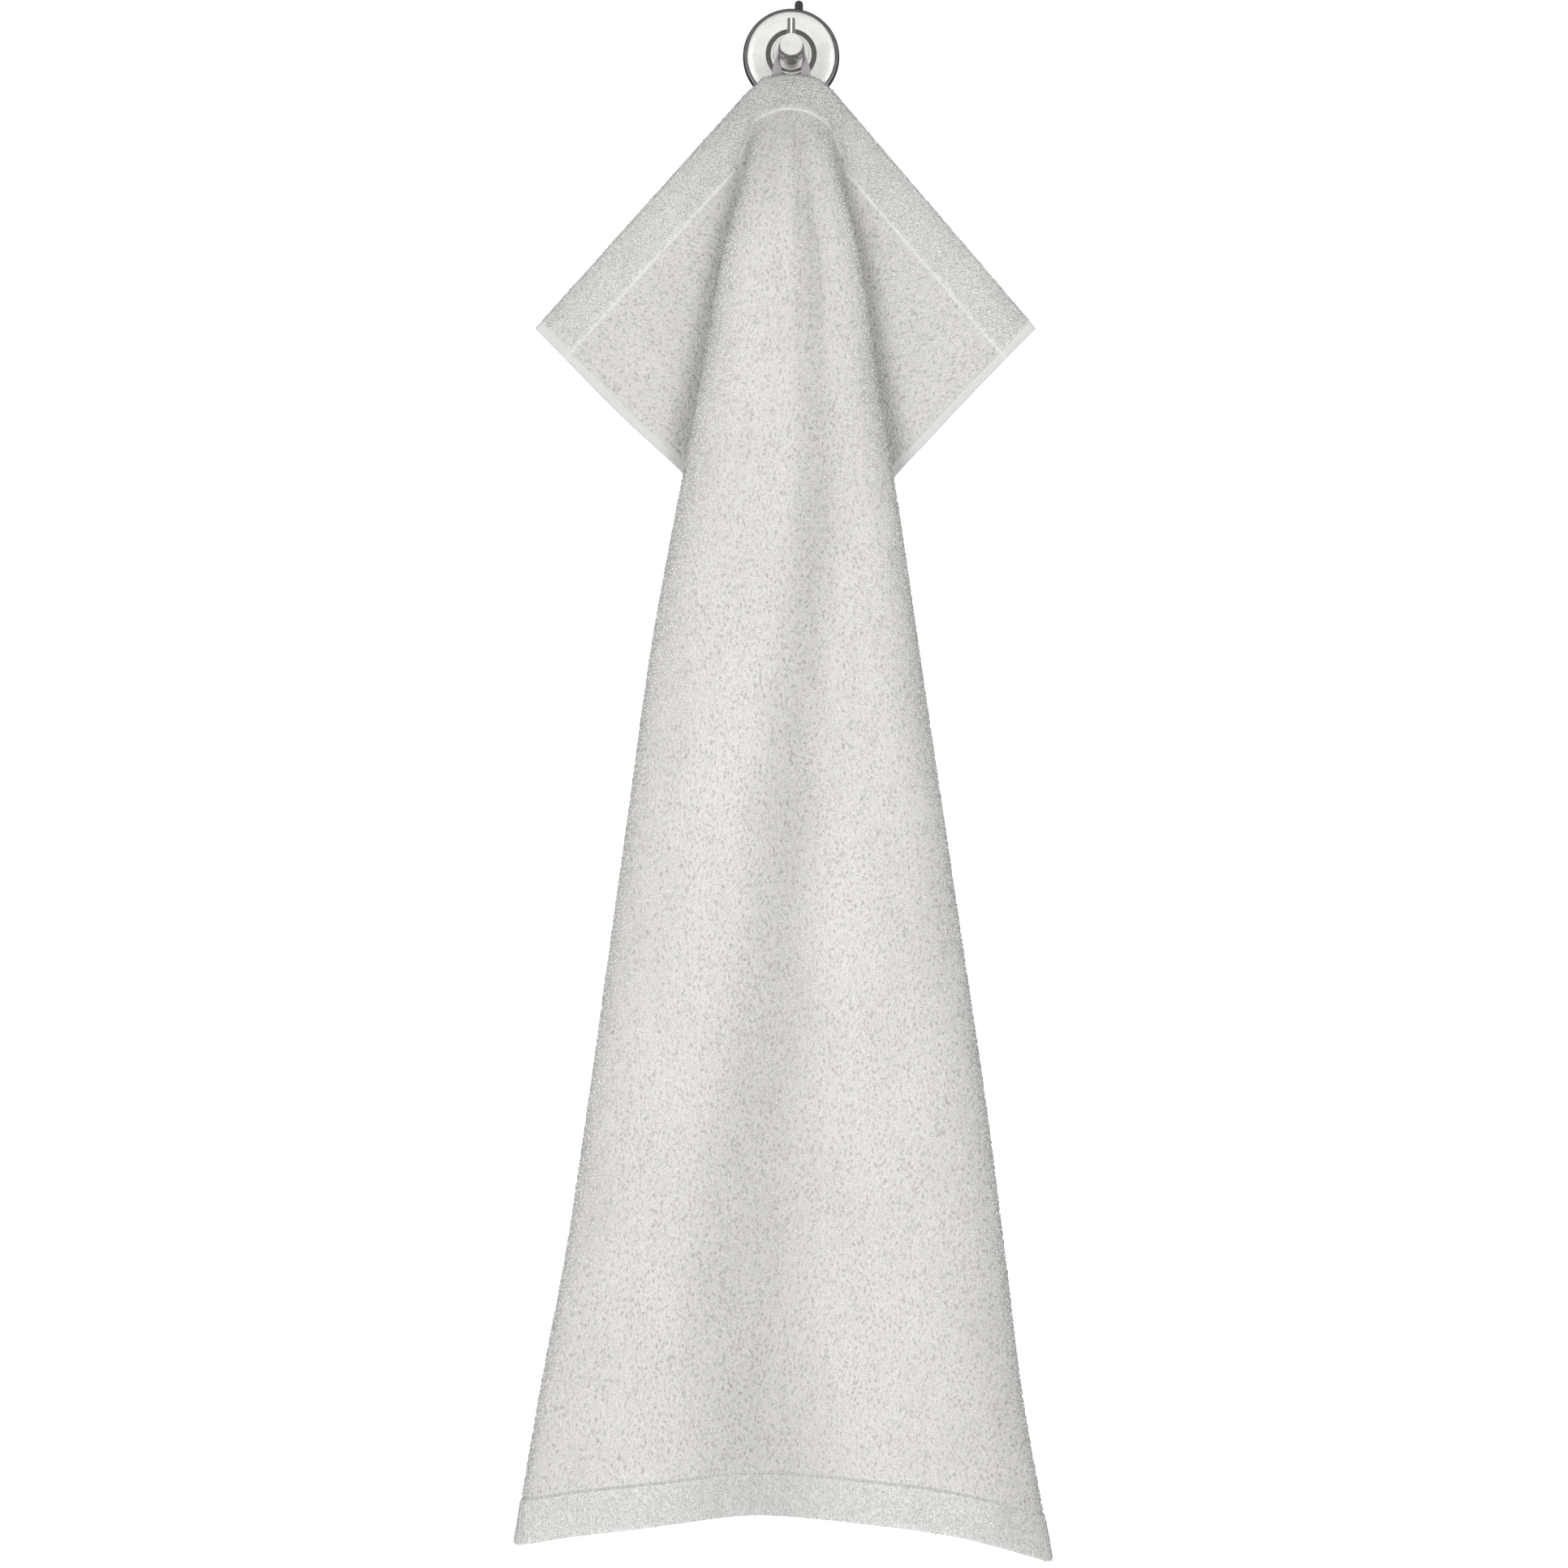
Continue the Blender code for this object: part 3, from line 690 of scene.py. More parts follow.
def terry_ground(settings):
    """Woven ground of the towel: looped body, ribbed hems, flat selvedges and a stitched line."""
    made = Nodes("terry_ground")
    flat = made.mapped(made.flat_places("cloth"), scale=(0.5, 1.0, 1.0))
    u, v, _ = made.split(flat)
    from_side = made.math("MINIMUM", u, made.less(0.5, u))
    from_end = made.math("MINIMUM", v, made.less(1.0, v))
    selvedge = made.ramp(from_side, 0.0062, 0.0074, 1.0, 0.0)
    hem = made.ramp(from_end, 0.0282, 0.0292, 1.0, 0.0)
    stitched = made.times(made.ramp(from_end, 0.0288, 0.0294), made.ramp(from_end, 0.0306, 0.0312, 1.0, 0.0))
    cells = made.mapped(flat, scale=(620.0, 400.0, 1.0))
    loops = made.add("ShaderNodeTexVoronoi", {"Vector": cells, "Scale": 1.0, "Randomness": 0.9},
                     feature="F1", voronoi_dimensions="2D")
    loop_height = made.less(1.0, loops.outputs["Distance"])
    strands = made.noise(made.mapped(flat, scale=(900.0, 260.0, 1.0)), 1.0, 3.0, 0.6)
    ribs = made.bands(made.mapped(flat, scale=(1.0, 0.05, 1.0)), 145.0, 2.0, "X", 2.0, 3.0)
    grooves = made.bands(flat, 260.0, 1.0, "Y", 1.0)
    relief = made.plus(made.times(loop_height, 0.7), made.times(strands, 0.6))
    ribbed = made.plus(made.times(ribs, 0.6), made.times(strands, 0.5))
    relief = made.mix_value(hem, relief, ribbed)
    relief = made.mix_value(selvedge, relief, made.times(grooves, 0.25))
    patches = made.noise(made.mapped(flat, scale=(26.0, 11.0, 1.0)), 1.0, 3.0)
    tone = made.plus(made.ramp(patches, 0.3, 0.7, 0.96, 1.03), made.ramp(strands, 0.25, 0.75, -0.05, 0.04))
    # Painted shade by place on the cloth, carried in the tint attribute
    tone = made.plus(tone, made.tint())
    # The body's ground is painted darker than the loops: painted shade in the gaps between them and beside
    # the stitched line
    base = made.shade(colour(settings.terry_shadow), tone)
    base = made.mix(hem, base, made.shade(colour(settings.terry_colour), tone))
    base = made.mix(selvedge, base, colour(settings.selvedge_colour))
    seam = made.shade(colour(settings.thread_colour), made.ramp(v, 0.4, 0.6, 0.92, 0.62))
    base = made.mix(stitched, base, seam)
    made.set(Base_Color=base, Roughness=0.95, Sheen_Weight=0.25, Sheen_Roughness=0.6,
             Specular_IOR_Level=0.2, Normal=made.bump(relief, 0.0009, 0.9))
    return made.material


def terry_pile(settings):
    """Cotton loops, each a little lighter or darker than the next, with painted shade by their place on the
    cloth.
    """
    made = Nodes("terry_pile")
    places = made.object_places()
    patches = made.noise(made.mapped(places, scale=(30.0, 30.0, 14.0)), 1.0, 3.0)
    fibres = made.noise(made.mapped(places, scale=(2400.0, 2400.0, 900.0)), 1.0, 2.0)
    # Painted shade by place on the cloth, carried in the tint attribute, with each loop's random tone
    tone = made.plus(made.ramp(patches, 0.3, 0.7, 0.975, 1.02), made.tint())
    tone = made.plus(tone, made.ramp(fibres, 0.3, 0.7, -0.04, 0.03))
    made.set(Base_Color=made.shade(colour(settings.terry_colour), tone), Roughness=0.92, Sheen_Weight=0.3,
             Sheen_Roughness=0.5, Specular_IOR_Level=0.2, Normal=made.bump(fibres, 0.0003, 0.7))
    return made.material


def sewing_thread(settings):
    """Twisted cotton thread."""
    made = Nodes("sewing_thread")
    twist = made.bands(made.mapped(made.object_places(), rotation=(0.0, 0.6, 0.0)), 700.0, 1.0, "DIAGONAL")
    base = made.shade(colour(settings.thread_colour), made.ramp(twist, 0.0, 1.0, 0.93, 1.03))
    made.set(Base_Color=base, Roughness=0.7, Sheen_Weight=0.15, Normal=made.bump(twist, 0.0002, 0.6))
    return made.material


def woven_tape(settings):
    """Fine cotton tape: warp ribs along it and closer weft lines across."""
    made = Nodes("woven_tape")
    flat = made.flat_places("tape")
    weave = made.times(made.bands(flat, 2.2, 0.6, "X", 1.0), made.bands(flat, 34.0, 0.8, "Y", 1.0))
    fuzz = made.noise(made.object_places(), 1500.0, 3.0, 0.6)
    height = made.plus(weave, made.times(fuzz, 0.5))
    tone = made.plus(made.ramp(weave, 0.0, 0.7, 0.90, 1.03), made.ramp(fuzz, 0.3, 0.7, -0.05, 0.05))
    made.set(Base_Color=made.shade(colour(settings.tape_colour), tone), Roughness=0.88, Sheen_Weight=0.2,
             Specular_IOR_Level=0.25, Normal=made.bump(height, 0.0003, 0.9))
    return made.material


def brushed_steel(settings, name, along):
    """Satin steel: circular brush lines about the hook's axis, or rings along the peg."""
    made = Nodes(name)
    x, y, z = made.split(made.object_places())
    from_axis = made.math("SQRT", made.plus(made.times(x, x), made.times(z, z)))
    lines = made.add("ShaderNodeCombineXYZ", {"X": made.times(y if along else from_axis, 5200.0),
                                              "Y": made.times(made.math("ARCTAN2", z, x), 0.7)}).outputs[0]
    fine = made.noise(lines, 1.0, 3.0, 0.65)
    broad = made.noise(made.mapped(lines, scale=(0.12, 0.8, 1.0)), 1.0, 2.0)
    smudge = made.noise(made.object_places(), 60.0, 3.0, 0.6)
    usual = settings.steel_roughness
    rough = made.plus(made.ramp(fine, 0.25, 0.75, usual - 0.05, usual + 0.07),
                      made.ramp(smudge, 0.35, 0.7, -0.02, 0.04))
    tone = made.plus(made.ramp(fine, 0.2, 0.8, 0.93, 1.03), made.ramp(broad, 0.3, 0.7, -0.03, 0.03))
    tangent = made.add("ShaderNodeTangent", direction_type="RADIAL", axis="Y")
    made.set(Base_Color=made.shade(colour(settings.steel_colour), tone), Metallic=1.0, Roughness=rough,
             Anisotropic=0.2 if along else 0.5, Tangent=tangent.outputs[0],
             Normal=made.bump(fine, 0.00006, 0.35))
    return made.material


def polished_steel(settings):
    """Bright steel with fine turning marks."""
    made = Nodes("polished_steel")
    lines = made.mapped(made.object_places(), scale=(900.0, 900.0, 4200.0))
    fine = made.noise(lines, 1.0, 2.0)
    marks = made.noise(made.object_places(), 300.0, 3.0)
    made.set(Base_Color=made.shade(colour(settings.steel_colour), made.ramp(fine, 0.2, 0.8, 1.50, 1.60)),
             Metallic=1.0, Roughness=made.ramp(marks, 0.3, 0.7, 0.07, 0.13),
             Normal=made.bump(fine, 0.00002, 0.3))
    return made.material


def black_rubber(settings):
    """Matt rubber with a faint grey bloom."""
    made = Nodes("black_rubber")
    places = made.object_places()
    grain = made.noise(places, 1400.0, 3.0, 0.6)
    bloom = made.noise(places, 55.0, 4.0, 0.6)
    base = made.mix(made.ramp(bloom, 0.45, 0.8, 0.0, 0.5), colour(settings.rubber_colour),
                    made.shade(colour(settings.rubber_colour), 2.2))
    made.set(Base_Color=base, Roughness=made.ramp(grain, 0.3, 0.7, 0.45, 0.62), Specular_IOR_Level=0.45,
             Normal=made.bump(grain, 0.00012, 0.5))
    return made.material


def pale_paper():
    """White paper of the studio's floor and backdrop."""
    made = Nodes("studio_paper")
    grain = made.noise(made.object_places(), 90.0, 4.0)
    made.set(Base_Color=made.shade(colour((0.92, 0.92, 0.92)), made.ramp(grain, 0.3, 0.7, 0.995, 1.0)),
             Roughness=0.9, Specular_IOR_Level=0.1)
    return made.material


# Meshes

def finish_piece(name, mesh, material, replaced=(), sharp_angle=None):
    """Object at the origin that carries a finished mesh, riding on the one body."""
    mesh.shade_smooth()
    if sharp_angle is not None:
        mesh.set_sharp_from_angle(angle=math.radians(sharp_angle))
    piece = bpy.data.objects.new(name, mesh)
    bpy.context.scene.collection.objects.link(piece)
    mesh.materials.append(material)
    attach(piece, BODY)
    if replaced:
        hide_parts(*replaced)
    return piece


def mesh_of(bm, name):
    mesh = bpy.data.meshes.new(name)
    bm.to_mesh(mesh)
    bm.free()
    return mesh


def grid_mesh(name, places):
    """Sheet of quads through rows and columns of places."""
    rows, columns = places.shape[:2]
    bm = bmesh.new()
    bmesh.ops.create_grid(bm, x_segments=columns - 1, y_segments=rows - 1, size=1.0)
    bm.verts.ensure_lookup_table()
    for vert, place in zip(bm.verts, places.reshape(-1, 3) * MM):
        vert.co = place
    bmesh.ops.recalc_face_normals(bm, faces=bm.faces)
    return mesh_of(bm, name)


def lay_flat(mesh, name, flat):
    """UV map that gives each vertex its place on the flat cloth."""
    corners = np.zeros(len(mesh.loops), np.int32)
    mesh.loops.foreach_get("vertex_index", corners)
    layer = mesh.uv_layers.new(name=name)
    layer.data.foreach_set("uv", flat.reshape(-1, 2)[corners].astype(np.float32).ravel())


def carry_tints(mesh, tints):
    attribute = mesh.attributes.new("tint", "FLOAT", "POINT")
    attribute.data.foreach_set("value", tints.astype(np.float32))


def thicken(piece, thickness):
    solid = piece.modifiers.new("thickness", "SOLIDIFY")
    solid.thickness = thickness
    solid.offset = 0.0
    return solid


def move_new(bm, made, vec):
    """Move the vertices that an extrusion has made."""
    raised = [item for item in made["geom"] if isinstance(item, bmesh.types.BMVert)]
    bmesh.ops.translate(bm, vec=vec, verts=raised)


def round_edges(bm, edges, radius, segments):
    bmesh.ops.bevel(bm, geom=edges, offset=radius, offset_type="OFFSET", segments=segments, profile=0.5,
                    affect="EDGES", material=-1)


def softened(profile, radius, steps=4):
    """Profile with its corners rounded, and a point beside each rounding that keeps the flats flat."""
    points = [np.array(point, float) for point in profile]
    out = [points[0]]
    for before, corner, after in zip(points, points[1:], points[2:]):
        back, ahead = before - corner, after - corner
        reach = min(radius, 0.4 * np.linalg.norm(back), 0.4 * np.linalg.norm(ahead))
        back, ahead = unit(back), unit(ahead)
        if np.dot(back, ahead) < -0.94 or reach < 1e-3:
            out.append(corner)
            continue
        start, end = corner + back * reach, corner + ahead * reach
        out.append(corner + back * reach * 1.2)
        for u in np.linspace(0.0, 1.0, steps + 1):
            out.append((1 - u)**2 * start + 2 * u * (1 - u) * corner + u**2 * end)
        out.append(corner + ahead * reach * 1.2)
    return out + [points[-1]]


def spun(profile, steps, rounding=0.0, off_wall=None):
    """Closed round form of a profile, about the hook's axis or upright at a distance off the wall."""
    if rounding:
        profile = softened(profile, rounding)
    if off_wall is None:
        centre, axis = (0.0, 0.0, 0.0), (0, 1, 0)
        corners = [(radius * MM, -height * MM, 0.0) for radius, height in profile]
    else:
        centre, axis = (0.0, -off_wall * MM, 0.0), (0, 0, 1)
        corners = [(radius * MM, centre[1], height * MM) for radius, height in profile]
    bm = bmesh.new()
    points = [bm.verts.new(corner) for corner in corners]
    edges = [bm.edges.new(pair) for pair in zip(points, points[1:])]
    bmesh.ops.spin(bm, geom=points + edges, cent=centre, axis=axis, angle=2 * math.pi, steps=steps,
                   use_merge=True)
    bmesh.ops.remove_doubles(bm, verts=bm.verts, dist=1e-6)
    bmesh.ops.recalc_face_normals(bm, faces=bm.faces)
    return bm


def combined(bm, other, operation, name):
    """Mesh of one closed form joined with or cut by another."""
    first = bpy.data.objects.new(name + "_first", mesh_of(bm, name + "_first"))
    second = bpy.data.objects.new(name + "_second", mesh_of(other, name + "_second"))
    for thing in (first, second):
        bpy.context.scene.collection.objects.link(thing)
    step = first.modifiers.new("join", "BOOLEAN")
    step.operation = operation
    step.solver = "EXACT"
    step.object = second
    bpy.context.view_layer.update()
    made = bpy.data.meshes.new_from_object(first.evaluated_get(bpy.context.evaluated_depsgraph_get()))
    made.name = name
    for thing in (first, second):
        old = thing.data
        bpy.data.objects.remove(thing, do_unlink=True)
        bpy.data.meshes.remove(old)
    return made


def grain_form(segments, rings):
    """Vertices and faces of one small closed grain of radius 1."""
    bm = bmesh.new()
    bmesh.ops.create_uvsphere(bm, u_segments=segments, v_segments=rings, radius=1.0)
    bmesh.ops.triangulate(bm, faces=bm.faces)
    points = np.array([vert.co[:] for vert in bm.verts])
    faces = np.array([[vert.index for vert in face.verts] for face in bm.faces])
    bm.free()
    return points, faces


def strewn(name, form, centres, frames, tints):
    """One mesh of many copies of a small form, each with its own place, turn, size and tint.

    A copy whose axes mirror the form has its faces turned round, so that they point outwards.
    """
    points, faces = form
    places = np.einsum("pi,nij->npj", points, frames) + centres[:, None, :]
    corners = faces[None] + (np.arange(len(centres)) * len(points))[:, None, None]
    mirrored = np.linalg.det(frames) < 0
    corners[mirrored] = corners[mirrored][:, :, ::-1]
    corners = corners.reshape(-1, 3)
    mesh = bpy.data.meshes.new(name)
    mesh.vertices.add(places.shape[0] * places.shape[1])
    mesh.vertices.foreach_set("co", (places * MM).astype(np.float32).ravel())
    mesh.loops.add(corners.size)
    mesh.loops.foreach_set("vertex_index", corners.astype(np.int32).ravel())
    mesh.polygons.add(len(corners))
    mesh.polygons.foreach_set("loop_start", (np.arange(len(corners)) * 3).astype(np.int32))
    mesh.update(calc_edges=True)
    carry_tints(mesh, np.repeat(tints, len(points)))
    return mesh


def jittered(half, low, high, pitch, random, loose=0.36):
    """Points strewn evenly over the cloth between two levels, each moved a little at random."""
    across = np.arange(-half + pitch[0] / 2, half, pitch[0])
    down = np.arange(low + pitch[1] / 2, high, pitch[1])
    a, d = np.meshgrid(across, down)
    a = a + (np.arange(len(down)) % 2)[:, None] * pitch[0] / 2
    a = a + random.uniform(-loose, loose, a.shape) * pitch[0]
    d = d + random.uniform(-loose, loose, d.shape) * pitch[1]
    a, d = a.ravel(), d.ravel()
    inside = (np.abs(a) < half) & (d > low) & (d < high)
    return a[inside], d[inside]


def brushed_angle(across, down):
    """Angle in radians by which the loops lie over from straight down, in soft patches."""
    return np.array([uneven(BRUSHED_ROWS, a, d) for a, d in zip(across, down)])


def painted_shade(sheet, across, down):
    """Painted shade: how much darker the pile and ground are painted at each point of the cloth, below zero.
    """
    share = np.abs(across) / (CLOTH_WIDTH / 2)
    fold = sheet.mark_at(across, down, FOLD)
    reach = np.clip(share / fold, 0.0, 1.0)
    groove_at = np.interp(down, RELIEF_ROWS["down"], RELIEF_ROWS["groove_at"])
    wide = GROOVE_SHADE_WIDTH + ease(*GROOVE_SHADE_WIDENS, down) * GROOVE_SHADE_WIDER
    groove = soft_bump(np.sign(across) * reach, groove_at, wide) * ease(*GROOVE_SHADE_FROM, down)
    side = np.where(across < 0, ease(*LEFT_SIDE_REACH, reach) * LEFT_SIDE_SHADE,
                    ease(*RIGHT_SIDE_REACH, reach) * RIGHT_SIDE_SHADE) * ease(*SIDE_SHADE_FROM, down)
    from_body = share - sheet.mark_at(across, down, WING)
    tucked = 1 - ease(0.0, TUCKED_SHADE_REACH, from_body)
    wing = ease(fold, fold + WING_SHADE_WIDTH, share) * (WING_SHADE + TUCKED_SHADE * tucked)
    top = (1 - ease(*TOP_SHADE_ENDS, down)) * soft_bump(across, 0.0, TOP_SHADE_WIDTH) * TOP_SHADE
    rolled = (1 - ease(0.0, ROLLED_EDGE, down)) * ROLLED_EDGE_SHADE
    return -(GROOVE_SHADE * groove + side + wing + top + rolled)


def loop_tones(count, random, lightest=0.06, shade=0.37):
    """Most loops are alike, and a few lie in shade."""
    return lightest - shade * random.uniform(0.0, 1.0, count)**3


def pile_tints(sheet, across, down, random, *tones):
    """Tones of loops on the front face: painted shade by their place on the cloth, plus a random tone of
    each loop.
    """
    return painted_shade(sheet, across, down) + loop_tones(len(across), random, *tones)


def framed(first, second, third, sizes):
    """Turned axes of each loop, with the loop's sizes along them."""
    return np.stack([first * sizes[:, :1], second * sizes[:, 1:2], third * sizes[:, 2:]], axis=1)


def loop_frames(sheet, across, down, face, size, lie, random):
    """Places and turned, sized axes of loops that stand on one face of the sheet (1 front, -1 back)."""
    lean, spread = lie
    places, normals, sideways, downward, thick = sheet.at(across, down)
    normals = normals * face
    count = len(across)
    turn = brushed_angle(across, down) + random.normal(0.0, spread, count)
    length_axis = unit(downward * np.cos(turn)[:, None] + sideways * np.sin(turn)[:, None])
    tilt = (lean + random.normal(0.0, TILT_SPREAD, count))[:, None]
    length_axis = unit(length_axis + normals * tilt)
    width_axis = unit(np.cross(normals, length_axis))
    sizes = random.uniform(*LOOP_SIZES, (count, 3)) * np.array(size)
    frames = framed(width_axis, length_axis, np.cross(length_axis, width_axis), sizes)
    return places + normals * (thick / 2 + sizes[:, 2] * LOOP_RAISED)[:, None], frames


def bristles(sheet, down, outward, random):
    """Centres, frames and tints of the short threads on a hem's folded edge."""
    low, high = down - BRISTLE_STRIP, down + BRISTLE_STRIP
    across, downs = jittered(HEM_PILE_HALF, low, high, (BRISTLE_PITCH, high - low), random)
    places, normals, sideways, downward, thick = sheet.at(across, downs)
    count = len(across)
    aim = unit(downward * outward + sideways * random.normal(0.0, BRISTLE_SWAY[0], (count, 1))
               + normals * random.normal(0.0, BRISTLE_SWAY[1], (count, 1)))
    wide = unit(np.cross(aim, normals))
    frames = framed(wide, aim, np.cross(wide, aim),
                    random.uniform(*BRISTLE_SIZES, (count, 3)) * np.array(BRISTLE_SIZE))
    spread = normals * (random.uniform(-BRISTLE_SPREAD, BRISTLE_SPREAD, count) * thick)[:, None]
    centres = places + spread + downward * outward * BRISTLE_STRIP
    return centres, frames, pile_tints(sheet, across, downs, random, *BRISTLE_TONES)


def seen_from_front(sheet, across, down):
    """Whether points of the cloth lie on the front panel or the wings."""
    share = np.abs(across) / (CLOTH_WIDTH / 2)
    on_panel = share < sheet.mark_at(across, down, FOLD) + PAST_FOLD
    on_wing = (share > sheet.mark_at(across, down, WING) - PAST_WING) & (down < WING_PILE_ENDS)
    return on_panel | on_wing


def hidden_from_front(sheet, across, down):
    return ~seen_from_front(sheet, across, down)


def seen_from_behind(sheet, across, down):
    """Whether the reverse of points of the cloth shows from behind or from below."""
    share = np.abs(across) / (CLOTH_WIDTH / 2)
    on_panel = (share < sheet.mark_at(across, down, FOLD)) & (down > INNER_PILE_FROM)
    return (share > sheet.mark_at(across, down, TUCK) - PAST_TUCK) | on_panel


def body_points(pitch, random, sheet, shown):
    """Points between the hems and selvedges, where a test says that the cloth shows."""
    low, high = HEM_DEPTH + PILE_FROM_STITCH, CLOTH_LENGTH - HEM_DEPTH - PILE_FROM_STITCH
    across, down = jittered(PILE_HALF, low, high, pitch, random)
    kept = shown(sheet, across, down)
    return across[kept], down[kept]


def joined(sets):
    """Centres, frames and tints of several sets of loops, one after another."""
    return [np.concatenate(fields) for fields in zip(*sets)]


def finish_pile(name, loops, part, material):
    mesh = strewn(name, grain_form(4, 2), *(field[part] for field in loops))
    finish_piece(name, mesh, material)


# Properties

COLOUR = {"subtype": "COLOR", "size": 3, "min": 0.0, "max": 1.0}


class TowelCloth(bpy.types.PropertyGroup):
    ground: FloatProperty(
        name="Ground thickness", default=2.2, min=0.5, max=4.0,
        description="Thickness of the woven ground under the loops, in millimetres")
    hem_ground: FloatProperty(
        name="Hem thickness", default=4.0, min=1.0, max=8.0,
        description="Thickness of the doubled hem under its low pile, in millimetres")
    selvedge_ground: FloatProperty(
        name="Selvedge thickness", default=1.3, min=0.4, max=3.0,
        description="Thickness of the flat-woven side edge, in millimetres")
    terry_colour: FloatVectorProperty(
        name="Terry colour", description="Colour of the cotton loops",
        default=(0.685, 0.673, 0.653), **COLOUR)
    # The ground colour is darker than the loops' colour: painted shade in the gaps between the loops
    terry_shadow: FloatVectorProperty(
        name="Ground colour", description="Colour of the ground between the loops",
        default=(0.585, 0.57, 0.55), **COLOUR)
    selvedge_colour: FloatVectorProperty(
        name="Selvedge colour", description="Colour of the flat-woven side edge",
        default=(0.56, 0.553, 0.543), **COLOUR)
    thread_colour: FloatVectorProperty(
        name="Thread colour", description="Colour of the hem's sewing thread",
        default=(0.66, 0.65, 0.635), **COLOUR)


class TowelPile(bpy.types.PropertyGroup):
    loop_length: FloatProperty(
        name="Loop length", default=1.45, min=0.3, max=4.0,
        description="Half the length of a loop as it lies, in millimetres")
    loop_width: FloatProperty(
        name="Loop width", description="Half the width of a loop, in millimetres",
        default=0.72, min=0.2, max=2.0)
    loop_height: FloatProperty(
        name="Loop height", description="Half the height of a loop, in millimetres",
        default=0.8, min=0.2, max=2.0)
    front_pitch_across: FloatProperty(
        name="Front pitch across", default=1.9, min=1.0, max=8.0,
        description="Distance between loops across the cloth, in millimetres")
    front_pitch_down: FloatProperty(
        name="Front pitch down", default=2.5, min=1.0, max=8.0,
        description="Distance between loops down the cloth, in millimetres")
    back_pitch_across: FloatProperty(
        name="Back pitch across", description="The same on faces that only show from behind",
        default=4.1, min=1.0, max=12.0)
    back_pitch_down: FloatProperty(
        name="Back pitch down", description="The same on faces that only show from behind",
        default=4.9, min=1.0, max=12.0)
    stitch_pitch: FloatProperty(
        name="Stitch length", description="Distance from stitch to stitch on the hems, in millimetres",
        default=3.0, min=1.0, max=6.0)
    seed: IntProperty(name="Seed", description="Seed of the loops' small differences", default=7, min=0)


class LoopTape(bpy.types.PropertyGroup):
    width: FloatProperty(
        name="Width", description="Width of the tape", subtype="DISTANCE",
        default=0.0065, min=0.003, max=0.02)
    thickness: FloatProperty(
        name="Thickness", description="Thickness of the tape", subtype="DISTANCE",
        default=0.0011, min=0.0004, max=0.003)
    tape_colour: FloatVectorProperty(
        name="Tape colour", description="Colour of the cotton tape", default=(0.59, 0.555, 0.575), **COLOUR)


class WallHook(bpy.types.PropertyGroup):
    steel_colour: FloatVectorProperty(
        name="Steel colour", description="Colour of the steel", default=(0.58, 0.57, 0.55), **COLOUR)
    steel_roughness: FloatProperty(
        name="Steel roughness", description="Roughness of the brushed steel", subtype="FACTOR",
        default=0.24, min=0.0, max=1.0)
    rubber_colour: FloatVectorProperty(
        name="Rubber colour", description="Colour of the suction cup",
        default=(0.022, 0.024, 0.028), **COLOUR)


class Studio(bpy.types.PropertyGroup):
    camera_distance: FloatProperty(
        name="Camera distance", description="Distance of the camera from the wall plane",
        subtype="DISTANCE", default=2.45, min=0.5, max=10.0)
    camera_height: FloatProperty(
        name="Camera height", description="Height of the camera from the hook's axis",
        subtype="DISTANCE", default=-0.5085, min=-3.0, max=3.0)
    camera_aside: FloatProperty(
        name="Camera aside", description="How far right of the hook's axis the camera stands",
        subtype="DISTANCE", default=-0.005, min=-3.0, max=3.0)
    field: FloatProperty(
        name="Field of view", description="Angle across the picture", subtype="ANGLE",
        default=math.radians(25.25), min=0.05, max=2.0)
    brightness: FloatProperty(
        name="Brightness", description="Strength of the lights, relative to the usual one",
        subtype="FACTOR", default=1.0, min=0.0, max=4.0)


GROUPS = {"towel_cloth": TowelCloth, "towel_pile": TowelPile, "towel_tape": LoopTape,
          "towel_hook": WallHook, "towel_studio": Studio}


# Operators

class MakeTowelCloth(bpy.types.Operator):
    """Hang the sheet of terry in its folds"""
    bl_idname = "towel.make_cloth"
    bl_label = "Towel cloth"

    def execute(self, context):
        settings = context.scene.towel_cloth
        sheet = hanging_sheet(settings)
        mesh = grid_mesh("terry_cloth", sheet.places[::-1])
        across, down = np.meshgrid(sheet.across, sheet.downs[::-1])
        lay_flat(mesh, "cloth", np.stack([across / CLOTH_WIDTH + 0.5, down / CLOTH_LENGTH], axis=-1))
        # The cloth's tint is its painted shade
        carry_tints(mesh, painted_shade(sheet, across.ravel(), down.ravel()))
        cloth = finish_piece("terry_cloth", mesh, terry_ground(settings), ["towel"])
        thickest = float(sheet.thickness.max())
        group = cloth.vertex_groups.new(name="thickness")
        shares = np.round(sheet.thickness[::-1].ravel() / thickest, 3)
        for share in np.unique(shares):
            group.add(np.flatnonzero(shares == share).tolist(), float(share), "REPLACE")
        thicken(cloth, thickest * MM).vertex_group = group.name
        return {"FINISHED"}


